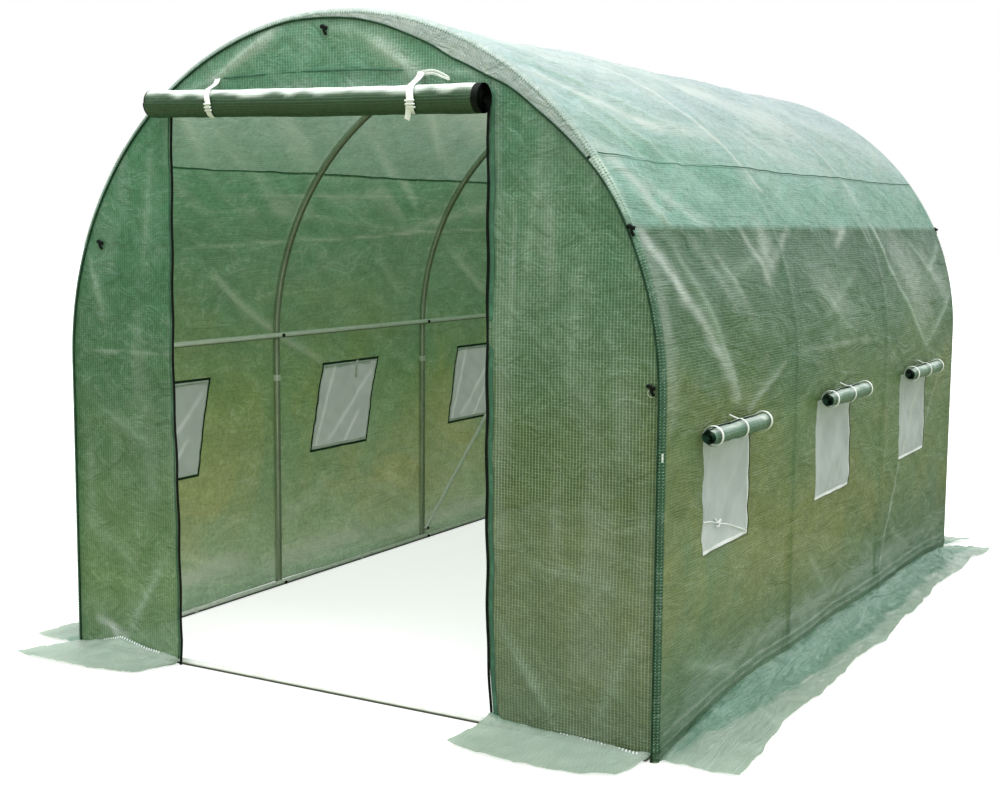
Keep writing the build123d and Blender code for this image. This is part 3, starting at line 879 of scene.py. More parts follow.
# Colours of the painted sky light, laid over the film where its sky mark is set
PAINTED_SKY_HEIGHTS = [
    (1.30, (0.165, 0.370, 0.300)),
    (1.45, (0.195, 0.405, 0.335)),
    (1.60, (0.258, 0.445, 0.415)),
    (1.75, (0.335, 0.470, 0.485)),
    (1.94, (0.430, 0.535, 0.570)),
]
END_RIGHT_HEIGHTS = [
    (0.00, (0.145, 0.215, 0.086)),
    (0.25, (0.158, 0.205, 0.064)),
    (0.80, (0.150, 0.232, 0.086)),
    (1.12, (0.122, 0.255, 0.138)),
    (1.60, (0.086, 0.228, 0.136)),
    (1.80, (0.118, 0.320, 0.210)),
]
END_LEFT_HEIGHTS = [
    (0.00, (0.185, 0.320, 0.175)),
    (0.25, (0.165, 0.285, 0.120)),
    (0.70, (0.092, 0.210, 0.096)),
    (1.20, (0.055, 0.195, 0.098)),
    (1.60, (0.078, 0.255, 0.140)),
    (1.80, (0.118, 0.320, 0.210)),
]
HEM_HEIGHTS = [(0.0, (0.036, 0.100, 0.052)), (1.25, (0.050, 0.140, 0.080)), (1.40, (0.180, 0.360, 0.270)),
               (2.0, (0.260, 0.420, 0.340))]
SKIRT_HEIGHTS = [(0.0, (0.140, 0.300, 0.215)), (2.0, (0.140, 0.300, 0.215))]
ROLL_HEIGHTS = [(0.0, (0.050, 0.150, 0.085)), (1.2, (0.050, 0.150, 0.085)), (1.5, (0.016, 0.062, 0.018))]

# How much the threads stand out from the ground up, by height in metres
SIDE_WEAVE = [(0.0, 0.25), (0.85, 0.20), (1.05, 0.34), (1.35, 0.36), (1.50, 0.26), (1.94, 0.22)]
INNER_WEAVE = [(0.0, 0.14), (2.0, 0.14)]
ROOF_WEAVE = [(0.0, 0.22), (1.45, 0.30), (1.94, 0.20)]
END_WEAVE = [(0.0, 1.0), (0.90, 0.90), (1.25, 0.62), (1.60, 0.30), (1.70, 0.42), (1.94, 0.55)]
FLAT_WEAVE = [(0.0, 0.30), (2.0, 0.30)]
ROLL_WEAVE = [(0.0, 0.12), (2.0, 0.12)]

film_right = film_material("green_film_right", RIGHT_HEIGHTS, SIDE_WEAVE, high=PAINTED_SKY_HEIGHTS, olive=0.70,
                           clear=0.05, gloss=0.22, wrinkle_highlights=0.14)
film_left = film_material("green_film_left", LEFT_HEIGHTS, INNER_WEAVE, high=PAINTED_SKY_HEIGHTS, olive=0.60,
                          gloss=0.25, clear=0.0, through=0.34)
film_roof = film_material("green_film_roof", LEFT_HEIGHTS, ROOF_WEAVE, high=PAINTED_SKY_HEIGHTS, gloss=0.6)
film_end = film_material("green_film_end", END_RIGHT_HEIGHTS, END_WEAVE, left=END_LEFT_HEIGHTS, warps=1.0,
                         wefts=0.5, olive=0.3, left_weave=0.30, clear=0.05)
film_hem = film_material("green_film_hem", HEM_HEIGHTS, FLAT_WEAVE, through=0.12, clear=0.0, gloss=0.15,
                         light=(0.76, 0.84, 0.80))
film_skirt = film_material("green_film_skirt", SKIRT_HEIGHTS, FLAT_WEAVE, through=0.20, warps=0.5,
                           wefts=0.5, light=(0.42, 0.51, 0.44), wrinkle_highlights=0.40)
film_roll = film_material("green_film_roll", ROLL_HEIGHTS, ROLL_WEAVE, through=0.06, clear=0.0, gloss=0.5,
                          pale=(0.78, 0.87, 0.80), light=(0.84, 0.92, 0.86), wrinkle_highlights=0.0, relief=0.004)
# Lit and shaded copies of one white net: painted light for the right nets, painted shade for the left ones
net_bright = net_material("white_net_bright", (0.76, 0.81, 0.86), 0.18)
net_shaded = net_material("white_net_shaded", (0.31, 0.39, 0.33), 0.11)
net_hem = webbing_material("net_hem", (0.86, 0.88, 0.90), (0.70, 0.72, 0.74))
webbing = webbing_material("white_webbing", (0.90, 0.92, 0.90), (0.62, 0.66, 0.62))
dark_tape = plastic_material("dark_green_tape", (0.014, 0.042, 0.022), 0.6)
pale_thread = plastic_material("pale_thread", (0.17, 0.29, 0.22), 0.7)
seam_tape = plastic_material("seam_green_tape", (0.050, 0.125, 0.080), 0.7)
black = plastic_material("black_fixing", (0.004, 0.006, 0.005), 0.5)
steel = steel_material("galvanised_tube", (0.50, 0.55, 0.46), (0.30, 0.33, 0.26))
# The bars get paler, less metallic copies of the tube's finish: painted light, for the light they catch from
# above
bright_steel = steel_material("galvanised_bar", (0.95, 0.97, 0.94), (0.74, 0.75, 0.71), metal=0.0,
                              grime=0.92, shaded_facing=(-0.30, -0.85))
ground_steel = steel_material("galvanised_ground_bar", (0.90, 0.92, 0.89), (0.66, 0.67, 0.62), metal=0.0,
                              grime=0.95, shaded_facing=(0.12, -0.25))

# Nodes that keep their solids get a worked finish, by the end of their names
NODE_FINISHES = {
    "frame_screws": black,
    "_posts": steel,
    "_arch": steel,
    "_purlin": bright_steel,
    "_brace": bright_steel,
    "ridge_bar": bright_steel,
    "_ground_bar": ground_steel,
    "frame_ties": webbing,
}
for node_name, node_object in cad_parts.items():
    for ending, finish in NODE_FINISHES.items():
        if node_name.endswith(ending):
            node_object.data.materials.clear()
            node_object.data.materials.append(finish)


def hem_faces(along_mid):
    """1 for the side covers' faces that go round the end hoops, 0 for the rest."""
    return ((along_mid < FRONT + 0.004) | (along_mid > REAR - 0.004)).astype(int)


def side_cover(name, side, windows):
    """One side strip of the cover, from the seam to the ground, with its window openings."""
    sill_arc = SHOULDER_ARC + SPRING - SILL
    head_arc = SHOULDER_ARC + SPRING - HEAD
    arcs = steps([SEAM_ARC - 0.004, FOLD_ARC, SHOULDER_ARC, head_arc, sill_arc, GROUND_ARC], GRID)
    marks = [FRONT - HEM_ARC - FLANGE, FRONT - HEM_ARC, FRONT]
    for centre, width, _ in windows:
        marks += [centre - width / 2, centre + width / 2]
    marks += [REAR, REAR + HEM_ARC, REAR + HEM_ARC + FLANGE]
    along = steps(marks, GRID)
    arc_grid, along_grid = np.meshgrid(arcs, along, indexing="ij")
    height = SPRING + SHOULDER_ARC - arc_grid
    inside = (along_grid > FRONT) & (along_grid < REAR)
    shifted = along_grid + window_lean(along_grid, height, windows) * inside
    points = cover_point(side * arc_grid, shifted)
    arc_mid = (arcs[:-1] + arcs[1:]) / 2
    along_mid = (along[:-1] + along[1:]) / 2
    keep = np.ones((len(arc_mid), len(along_mid)), bool)
    level = (arc_mid > head_arc) & (arc_mid < sill_arc)
    for centre, width, _ in windows:
        keep[np.ix_(level, np.abs(along_mid - centre) < width / 2)] = False
    uv = np.stack([along_grid, arc_grid], axis=-1)
    slots = np.broadcast_to(hem_faces(along_mid), keep.shape)[keep]
    film = film_right if side > 0 else film_left
    marks = cover_marks(side * arc_grid, along_grid)
    piece = grid_piece(name, points, uv, film, keep, [film_hem], slots, marks)


def roof_cover():
    """The roof strip between the two seams."""
    arcs = steps([-SEAM_ARC - 0.004, 0, SEAM_ARC + 0.004], GRID)
    along = steps([FRONT - HEM_ARC - FLANGE, FRONT - HEM_ARC, FRONT, 0, REAR, REAR + HEM_ARC,
                   REAR + HEM_ARC + FLANGE], GRID)
    arc_grid, along_grid = np.meshgrid(arcs, along, indexing="ij")
    points = cover_point(arc_grid, along_grid)
    lap = np.clip((np.abs(arc_grid) - SEAM_ARC + GRID) / GRID, 0, 1) * 0.0012
    points[..., 0] += np.sin(arc_grid / COVER) * lap
    points[..., 2] += np.cos(arc_grid / COVER) * lap
    piece = grid_piece("roof_cover", points, np.stack([along_grid, arc_grid], axis=-1), film_roof,
                       marks=cover_marks(arc_grid, along_grid))


side_cover("left_side_cover", -1, LEFT_WINDOWS)
side_cover("right_side_cover", 1, RIGHT_WINDOWS)
roof_cover()


# End panels

def half_width(z):
    """Half width of an end panel at a height."""
    rise = np.clip(z - SPRING, 0, END_RADIUS)
    return np.sqrt(END_RADIUS ** 2 - rise ** 2)


def top_height(x):
    """Height of an end panel's rounded top at a distance from the middle."""
    return SPRING + np.sqrt(np.clip(END_RADIUS ** 2 - x ** 2, 0, None))


# Folds of the end panels: start and end as (x, z), height and width
FRONT_LEFT_FOLDS = [
    ((-0.93, 1.28), (-0.86, 1.06), 0.005, 0.014),
    ((-0.90, 0.80), (-0.70, 0.68), 0.003, 0.016),
    ((-0.98, 0.45), (-0.75, 0.30), 0.003, 0.018),
    ((-0.66, 1.60), (-0.70, 1.20), 0.003, 0.020),
    ((-0.62, 0.35), (-0.80, 0.06), 0.005, 0.018),
]
FRONT_RIGHT_FOLDS = [
    ((0.66, 1.58), (0.60, 1.10), 0.003, 0.020),
    ((0.60, 0.48), (0.95, 0.42), 0.003, 0.018),
    ((0.78, 1.30), (0.74, 0.90), 0.003, 0.022),
    ((0.86, 1.12), (0.90, 0.70), 0.003, 0.020),
    ((0.55, 0.30), (0.72, 0.05), 0.005, 0.018),
    ((0.95, 0.34), (0.84, 0.06), 0.004, 0.018),
]
GABLE_FOLDS = [
    ((-0.42, 1.76), (-0.17, 1.91), 0.009, 0.015),
    ((0.29, 1.75), (0.10, 1.87), 0.009, 0.020),
    ((0.10, 1.87), (-0.02, 1.90), 0.004, 0.020),
    ((0.31, 1.76), (0.47, 1.75), 0.004, 0.014),
    ((-0.43, 1.76), (-0.55, 1.73), 0.004, 0.014),
]
REAR_FOLDS = [
    ((-0.70, 1.50), (-0.20, 1.10), 0.006, 0.020),
    ((0.75, 1.40), (0.30, 0.85), 0.006, 0.020),
    ((0.00, 1.85), (0.10, 1.20), 0.005, 0.018),
    ((-0.95, 0.85), (-0.35, 0.60), 0.005, 0.020),
    ((0.92, 0.60), (0.40, 0.25), 0.005, 0.020),
    ((-0.60, 0.45), (-0.20, 0.10), 0.005, 0.020),
]

# Painted strokes on the end panels, painted highlight for a plus and painted shade for a minus: start, end,
# amount, width
FRONT_LEFT_STROKES = [
    ((-0.985, 0.962), (-0.60, 0.962), 0.75, 0.004),
    ((-0.985, 0.03), (-0.985, 1.25), -0.60, 0.018),
    ((-0.74, 1.55), (-0.82, 1.25), 0.14, 0.060),
    ((-0.93, 1.25), (-0.90, 1.12), -0.35, 0.008),
    ((-0.92, 0.11), (-0.80, 0.07), 0.75, 0.014),
    ((-0.86, 0.10), (-0.84, 0.05), 0.60, 0.012),
    ((-0.70, 0.35), (-0.72, 0.08), -0.20, 0.060),
]
FRONT_RIGHT_STROKES = [
    ((0.585, 1.40), (0.575, 1.10), 0.32, 0.010),
    ((0.68, 1.42), (0.70, 1.18), 0.20, 0.020),
    ((0.535, 1.72), (0.545, 0.20), 0.16, 0.016),
    ((0.84, 1.42), (0.86, 1.05), -0.45, 0.050),
    ((0.88, 1.05), (0.92, 0.75), 0.16, 0.020),
    ((0.60, 0.10), (0.95, 0.14), -0.25, 0.050),
    ((0.99, 0.03), (0.99, 1.20), -0.30, 0.010),
]
GABLE_STROKES = [
    ((-0.42, 1.762), (-0.20, 1.880), 0.60, 0.016),
    ((0.29, 1.755), (0.16, 1.850), 0.50, 0.020),
    ((-0.38, 1.790), (0.26, 1.790), -0.25, 0.020),
    ((-0.30, 1.73), (0.30, 1.73), 0.20, 0.018),
]
REAR_STROKES = [
    ((-0.60, 1.40), (-0.20, 1.00), 0.25, 0.030),
    ((0.70, 1.30), (0.35, 0.85), 0.25, 0.030),
]


def end_panel(name, x_grid, z_grid, y, facing, folds, strokes, seed):
    """An upright end panel on a grid of x and z."""
    rise = 0.002 * np.abs(smooth_noise(x_grid + z_grid, z_grid - x_grid, 0.03, 0.08, seed + 4))
    for fold in folds:
        rise += FOLD_STRENGTH * crease(x_grid, z_grid, *fold)
    wear_and_highlight = whitened(rise)
    rise += 0.0045 * smooth_noise(x_grid, z_grid, 0.14, 0.40, seed)
    rise += 0.0018 * smooth_noise(x_grid, z_grid, 0.045, 0.14, seed + 1)
    rise += 0.0008 * smooth_noise(x_grid, z_grid, 0.025, 0.03, seed + 2)
    above = np.clip(z_grid - SPRING, 0, None)
    sewn = HOOP - flange_reach(COVER * np.arctan2(x_grid, above + 1e-6)) - 0.001
    rise *= np.clip((sewn - np.hypot(x_grid, above)) / 0.04, 0, 1)
    tone = 0.18 * smooth_noise(x_grid, z_grid, 0.05, 0.35, seed + 3)
    for line in strokes:
        tone += stroke(x_grid, z_grid, *line)
    points = np.stack([x_grid, y + facing * rise, z_grid], axis=-1)
    return grid_piece(name, points, np.stack([x_grid, z_grid], axis=-1), film_end,
                      marks={"wear_and_highlight": wear_and_highlight, "sheen": np.clip(tone, -1, 1)})


def door_jamb(z, side):
    """The doorway's edge, which hangs a little crooked."""
    straight = DOOR_LEFT if side < 0 else DOOR_RIGHT
    drift = LEFT_JAMB_DRIFT if side < 0 else RIGHT_JAMB_DRIFT
    return straight + np.interp(z, JAMB_HEIGHTS, drift) + 0.0015 * np.sin(z * 31)


def fold_height(x, side):
    """Height of a front panel's lower fold at a place across it."""
    jamb_x = DOOR_LEFT if side < 0 else DOOR_RIGHT
    share = (abs(x) - abs(jamb_x)) / (END_RADIUS - abs(jamb_x))
    return np.interp(share, FOLD_SHARES, LEFT_FOLD_HEIGHTS if side < 0 else RIGHT_FOLD_HEIGHTS)


def front_side_panel(name, side, folds, strokes, seed):
    """The front panel on one side of the doorway."""
    jamb_x = DOOR_LEFT if side < 0 else DOOR_RIGHT
    wide = END_RADIUS - abs(jamb_x)
    top = top_height(abs(jamb_x)) - 0.002
    rows = steps([PANEL_FOOT, SPRING, top], PANEL_GRID)
    columns = steps([0, 1], PANEL_GRID / wide)
    z_grid, share = np.meshgrid(rows, columns, indexing="ij")
    outer = side * half_width(z_grid)
    inner = door_jamb(z_grid, side)
    inner = np.where(np.abs(inner) > np.abs(outer), outer, inner)
    x_grid = outer + (inner - outer) * share
    z_grid = z_grid + fold_height(x_grid, side) * np.clip(1 - z_grid / 0.20, 0, 1)
    piece = end_panel(name, x_grid, z_grid, FRONT_PANEL_Y, -1, folds, strokes, seed)


def column_panel(name, left, right, base, y, facing, folds, strokes, seed):
    """A panel from a level base up to the rounded top."""
    turns = np.linspace(math.asin(left / END_RADIUS), math.asin(right / END_RADIUS),
                        round((right - left) / PANEL_GRID * 1.15))
    xs = END_RADIUS * np.sin(turns)
    tallest = SPRING + END_RADIUS - base
    rows = steps([0, 1], PANEL_GRID / tallest)
    share, x_grid = np.meshgrid(rows, xs, indexing="ij")
    z_grid = base + (top_height(x_grid) - base) * share
    piece = end_panel(name, x_grid, z_grid, y, facing, folds, strokes, seed)


front_side_panel("front_left_panel", -1, FRONT_LEFT_FOLDS, FRONT_LEFT_STROKES, 11)
front_side_panel("front_right_panel", 1, FRONT_RIGHT_FOLDS, FRONT_RIGHT_STROKES, 21)
column_panel("front_gable", DOOR_LEFT, DOOR_RIGHT, DOOR_TOP, FRONT_PANEL_Y, -1, GABLE_FOLDS,
             GABLE_STROKES, 31)
column_panel("rear_panel", -END_RADIUS, END_RADIUS, PANEL_FOOT, REAR_PANEL_Y, 1, REAR_FOLDS,
             REAR_STROKES, 41)


# Seams and piping

def edge_line(y):
    """A path along the sewn edge of the cover on an end face, up one leg and down the other."""
    arcs = np.linspace(-SHOULDER_ARC, SHOULDER_ARC, 130)
    radius = HOOP - flange_reach(arcs) - 0.001
    bend = [radius * np.sin(arcs / COVER), np.full_like(arcs, y), SPRING + radius * np.cos(arcs / COVER)]
    heights = np.linspace(0.004, SPRING, 24)[:-1]
    left = [np.full_like(heights, -radius[0]), np.full_like(heights, y), heights]
    right = [np.full_like(heights, radius[-1]), np.full_like(heights, y), heights[::-1]]
    return np.vstack([np.stack(line, axis=1) for line in (left, bend, right)])


def cover_line(arc):
    """A path along the cover at one arc, just proud of it."""
    along = np.linspace(FRONT + 0.006, REAR - 0.006, 260)
    points = cover_point(np.full(260, arc), along)
    angle = min(abs(arc), SHOULDER_ARC) / COVER
    normal = np.array((math.copysign(math.sin(angle), arc), 0, math.cos(angle)))
    return points + normal * 0.0012


# The dark piping stands partly for painted shade: the shadow under the wrapped film along its sewn edge
piping = [sweep(edge_line(y), round_profile(0.0030, 8), side=(0, 1, 0))
          for y in (FRONT_FACE - 0.0014, REAR_FACE + 0.0014)]
trim("end_piping", piping, dark_tape)
seams = [sweep(cover_line(side * (SEAM_ARC - 0.003)), band_profile(0.0034, 0.0022), side=(0, 0, 1))
         for side in (-1, 1)]
trim("cover_seams", seams, seam_tape)


def stitch_row(near, far, highest=0.0):
    """Stitches over the wrapped film beside an end face's seam, on both legs up to the highest arc."""
    arcs = np.arange(-GROUND_ARC + 0.03, GROUND_ARC - 0.03, STITCH_PITCH)
    arcs = arcs[np.abs(arcs) > highest]
    lean = np.where(np.arange(len(arcs)) % 2 == 0, STITCH_LEAN, -STITCH_LEAN)
    starts = cover_point(arcs - lean, near)
    ends = cover_point(arcs + lean, far)
    out = np.array((0, math.copysign(0.0007, near), 0))
    return [sweep([start + out, end + out], band_profile(0.0022, 0.0010), side=(1, 0, 0.2))
            for start, end in zip(starts, ends)]


stitches = []
for edge, outward in ((FRONT - HEM_ARC, -1), (REAR + HEM_ARC, 1)):
    stitches += stitch_row(edge + outward * 0.0005, edge - outward * 0.0045)
    stitches += stitch_row(edge - outward * 0.0110, edge - outward * 0.0150, UPPER_STITCH_ARC)
trim("hoop_stitches", stitches, pale_thread)

# Black ties through the film round the end hoops, by place on the front face
HOOP_TIES = ((-0.017, 1.892), (-0.871, 1.296), (0.917, 1.355), (0.979, 0.961))

# Loop and tail of such a tie: to the right, outward and up
HOOP_TIE_LOOP = ((-0.011, 0, 0.003), (-0.004, 0.003, 0.005), (0.003, 0.003, 0.001), (0.010, 0, -0.001))
HOOP_TIE_TAIL = ((-0.001, 0.003, 0.004), (0.002, 0.004, -0.009), (0.006, 0, -0.019))
ties = []
for y, outward in ((FRONT_FACE, -1), (REAR_FACE, 1)):
    for x, z in HOOP_TIES:
        for line, thick in ((HOOP_TIE_LOOP, 0.0052), (HOOP_TIE_TAIL, 0.0042)):
            path = [(x + right, y + outward * 0.0030 + outward * out, z + up) for right, out, up in line]
            ties.append(sweep(smooth_path(path, 4), round_profile(thick, 8)))
trim("hoop_ties", ties, black)

# Dark welt across the gable, where the rolled door is sewn on
GABLE_SEAM = ((-0.405, 1.770), (-0.300, 1.774), (-0.103, 1.778), (0.100, 1.775), (0.275, 1.766))
path = smooth_path([(x, FRONT_PANEL_Y - 0.0032, z) for x, z in GABLE_SEAM], 12)
trim("gable_seam", [sweep(path, band_profile(0.006, 0.003), side=(0, 0, 1))], seam_tape)


# Skirts

def skirt(name, inner, outer, seed, pale_from):
    """A skirt from the wall's foot to its own outer edge, lying in waves, paler from a share outward:
    painted light on the outer share and painted shade by the wall.
    """
    count = len(inner)
    width = float(np.mean(np.linalg.norm(outer - inner, axis=1)))
    shares = steps([0, 1], GRID / width)
    share = shares[None, :, None]
    points = inner[:, None] * (1 - share) + outer[:, None] * share
    run = np.concatenate([[0], np.cumsum(np.linalg.norm(np.diff(inner, axis=0), axis=1))])
    run_grid = np.repeat(run[:, None], len(shares), axis=1)
    across = np.repeat(shares[None, :] * width, count, axis=0)
    settle = (1 - shares[None, :]) ** 3
    base = inner[:, None, 2] * settle
    waves = 0.5 + 0.5 * smooth_noise(run_grid + 0.5 * across, across, 0.17, 0.30, seed)
    waves = waves ** 2 * 0.020 * np.sin(np.pi * np.clip(shares * 0.9 + 0.05, 0, 1))[None, :]
    ripple = (0.5 + 0.5 * smooth_noise(run_grid, across, 0.05, 0.07, seed + 1)) * 0.005
    edge = (0.5 + 0.5 * smooth_noise(run_grid, across, 0.09, 0.30, seed + 2)) ** 2
    edge = edge * 0.012 * shares[None, :] ** 3
    ridges = 0.006 * np.abs(smooth_noise(run_grid + across, across - run_grid, 0.028, 0.070, seed + 6))
    points[..., 2] = 0.002 + base + waves + ripple + edge + ridges
    points[:, 0, 2] = inner[:, 2]
    # Painted light and shade: the skirt is darker by the wall and paler outward where it lies in the light
    limit = 0.10 * smooth_noise(run_grid, across, 0.09, 0.2, seed + 3)
    limit = np.broadcast_to(pale_from, count)[:, None] + limit
    sheen = np.clip((shares[None, :] - limit) / 0.10 + 0.5, 0, 1)
    sheen = sheen * (0.88 + 0.12 * smooth_noise(run_grid, across, 0.04, 0.04, seed + 4))
    # crest: paler film along the fold by the wall, as wear and painted highlight
    crest = np.exp(-((across - 0.008) / 0.009) ** 2)
    crest = crest * np.clip(0.45 + 1.2 * smooth_noise(run_grid, across, 0.05, 0.02, seed + 5), 0, 1)
    piece = grid_piece(name, points, np.stack([run_grid, across], axis=-1), film_skirt,
                       marks={"sheen": sheen, "wear_and_highlight": crest})


def wall_base(side):
    """The foot of a side wall."""
    along = steps([FRONT, REAR], SKIRT_GRID)
    return cover_point(np.full(len(along), side * GROUND_ARC), along)


def spread(ends, count):
    """Count points evenly along a line of a few corners on the ground."""
    corners = np.array([(x, y, 0.0) for x, y in ends])
    run = np.concatenate([[0], np.cumsum(np.linalg.norm(np.diff(corners, axis=0), axis=1))])
    places = np.linspace(0, run[-1], count)
    return np.stack([np.interp(places, run, corners[:, n]) for n in range(corners.shape[1])], axis=1)


# Outer edges of the skirts, as corners on the ground
RIGHT_EDGE = ((1.233, -1.505), (1.215, -1.30), (1.188, -1.05), (1.200, -0.72), (1.190, -0.35),
              (1.205, -0.05), (1.178, 0.18), (1.190, 0.42), (1.160, 0.80), (1.180, 1.10), (1.165, 1.30),
              (1.205, 1.53))
LEFT_EDGE = ((-1.215, -1.500), (-1.190, -1.20), (-1.205, -0.80), (-1.185, -0.30), (-1.200, 0.20),
             (-1.180, 0.70), (-1.195, 1.10), (-1.205, 1.53))
FRONT_RIGHT_EDGE = ((0.481, -1.673), (0.637, -1.706), (0.76, -1.700), (0.89, -1.689), (0.967, -1.643),
                    (0.996, -1.505))
FRONT_LEFT_EDGE = ((-1.135, -1.661), (-1.02, -1.682), (-0.809, -1.674), (-0.659, -1.640), (-0.612, -1.520))
REAR_EDGE = ((-1.10, 1.690), (-0.60, 1.702), (-0.10, 1.685), (0.40, 1.703), (0.80, 1.690), (1.10, 1.700))

right_inner = wall_base(1)
right_outer = spread(RIGHT_EDGE, len(right_inner))
right_outer[:, 0] += 0.006 * smooth_noise(right_outer[:, 1], right_outer[:, 0] * 0, 0.06, 1, 61)
right_pale = np.interp(right_inner[:, 1], (-1.47, -1.30, -1.09, -0.73, 0.0, 1.5),
                       (0.10, 0.25, 0.45, 0.62, 0.70, 0.60))
skirt("right_skirt", right_inner, right_outer, 51, right_pale)
left_inner = wall_base(-1)
left_outer = spread(LEFT_EDGE, len(left_inner))
left_outer[:, 0] += 0.006 * smooth_noise(left_outer[:, 1], left_outer[:, 0] * 0, 0.06, 1, 62)
skirt("left_skirt", left_inner, left_outer, 54, 0.35)


def end_base(start, stop, y, count, side=0):
    """The foot of an end panel."""
    xs = np.linspace(start, stop, count)
    heights = np.full(count, PANEL_FOOT)
    if side:
        heights = heights + fold_height(xs, side)
    return np.stack([xs, np.full(count, y), heights], axis=1)


right_foot = end_base(DOOR_RIGHT + 0.015, END_RADIUS, FRONT_PANEL_Y, 44, 1)
skirt("front_right_skirt", right_foot, spread(FRONT_RIGHT_EDGE, 44), 57, 0.03)
left_foot = end_base(-END_RADIUS, DOOR_LEFT + 0.008, FRONT_PANEL_Y, 44, -1)
skirt("front_left_skirt", left_foot, spread(FRONT_LEFT_EDGE, 44), 60, 0.05)

# Hem stitches along the front panels' folds
fold_stitches = []
for side, start, stop in ((1, 0.74, 0.97), (-1, 0.66, 0.90)):
    for x in np.arange(start, stop, FOLD_STITCH):
        z = PANEL_FOOT + fold_height(side * x, side)
        line = [(side * x, FRONT_PANEL_Y - 0.007, z + 0.004), (side * x, FRONT_PANEL_Y - 0.012, z - 0.003)]
        fold_stitches.append(sweep(line, band_profile(0.0042, 0.0016), side=(1, 0, 0)))
trim("fold_stitches", fold_stitches, net_hem)

rear_foot = end_base(-END_RADIUS, END_RADIUS, REAR_PANEL_Y, 160)
rear_tip = spread(REAR_EDGE, 160)
rear_tip[:, 1] += 0.005 * smooth_noise(rear_tip[:, 0], rear_tip[:, 0] * 0, 0.07, 1, 64)
skirt("rear_skirt", rear_foot, rear_tip, 63, 0.35)


# Rolled door and window flaps

def roll_piece(name, centre, axis, length, radius, core, turns, start_turn, seed, tapes, glint, neck=0.0,
               lumps=0.0015, tilt=0.0, tape=None):
    """A flap wound into a spiral round x or y, with its taped edges at both ends.

    glint is how pale the painted highlight on its upper side is, neck the length of its thinner
    front end, and tilt how far its ends are off the level.
    """
    around = round(26 * turns)
    angles = np.linspace(0, 2 * math.pi * turns, around) + start_turn
    share = np.linspace(0, 1, around)
    radii = core + (radius - core) * share
    marks = [-length / 2, -length / 2 + tapes[0], length / 2 - tapes[1], length / 2]
    along = steps(marks, 0.012)
    along_grid, turn_grid = np.meshgrid(along, angles, indexing="ij")
    radius_grid = np.repeat(radii[None, :], len(along), axis=0)
    bumps = lumps * smooth_noise(along_grid, np.cos(turn_grid), 0.09, 0.9, seed)
    bumps += lumps * 0.6 * smooth_noise(along_grid, np.sin(turn_grid), 0.03, 0.5, seed + 1)
    radius_grid = radius_grid + bumps * np.minimum(1, radius_grid / radius)
    if neck:
        slim = np.clip((-length / 2 + neck - along_grid) / 0.010, 0, 1)
        radius_grid = radius_grid * (1 - 0.17 * slim)
    out = np.sin(turn_grid) * radius_grid
    up = np.cos(turn_grid) * radius_grid
    sag = -0.003 * (1 - (2 * along_grid / length) ** 2) - tilt * 2 * along_grid / length
    if axis == "x":
        points = np.stack([centre[0] + along_grid, centre[1] + out, centre[2] + up + sag], axis=-1)
        toward = -1
    else:
        points = np.stack([centre[0] + out, centre[1] + along_grid, centre[2] + up + sag * 0.3], axis=-1)
        toward = math.copysign(1, centre[0])
    unrolled = np.concatenate([[0], np.cumsum(np.diff(angles) * (radii[1:] + radii[:-1]) / 2)])
    uv = np.stack([along_grid, np.repeat(unrolled[None, :], len(along), axis=0)], axis=-1)
    # Painted highlight along the roll's upper side, broken in places, and painted shade under it
    from_top = (turn_grid * toward + math.pi) % (2 * math.pi) - math.pi
    edge = 0.30 * smooth_noise(along_grid, from_top * 0, 0.05, 1, seed + 2)
    lit = np.clip((1.05 + edge - np.abs(from_top - 0.10)) / 0.45, 0, 1)
    broken = 0.88 + 0.30 * smooth_noise(along_grid, from_top, 0.022, 0.35, seed + 3)
    underside_shade = -0.35 * np.clip((from_top - 1.5) / 0.5, 0, 1)
    glow = np.clip(glint * lit * broken + underside_shade, -1, 1)
    middle = (along[:-1] + along[1:]) / 2
    taped = (middle < -length / 2 + tapes[0]) | (middle > length / 2 - tapes[1])
    slots = np.repeat(taped[:, None], around - 1, axis=1).astype(int).ravel()
    piece = grid_piece(name, points, uv, film_roll, extra=[tape or black], face_slots=slots,
                       marks={"sheen": glow})
    return piece


roll_centre, roll_size = node_box("door_roll")
roll_radius = roll_size[2] / 2
roll_length = roll_size[0]
roll_piece("door_roll", roll_centre + (ROLL_SHORT / 2, 0, 0), "x", roll_length - ROLL_SHORT,
           roll_radius - 0.0015, 0.010, 9.6, 0.9, 71, (0.004, 0.020), 1.0, tilt=ROLL_TILT)

for side_name, sign, start in (("right", 1, 2.5), ("left", -1, 3.6)):
    for number in (1, 2, 3):
        node_name = f"{side_name}_window_roll_{number}"
        centre, size = node_box(node_name)
        piece = roll_piece(node_name, centre, "y", size[1], size[2] / 2 - 0.001, 0.006, 3.6, sign * start,
                           80 + number + 5 * sign, (0.003, 0.003), 0.55, neck=0.034, lumps=0.0018,
                           tape=seam_tape)
        if sign < 0:
            piece.visible_shadow = False
            piece.visible_diffuse = False
            piece.visible_transmission = False


# Window nets

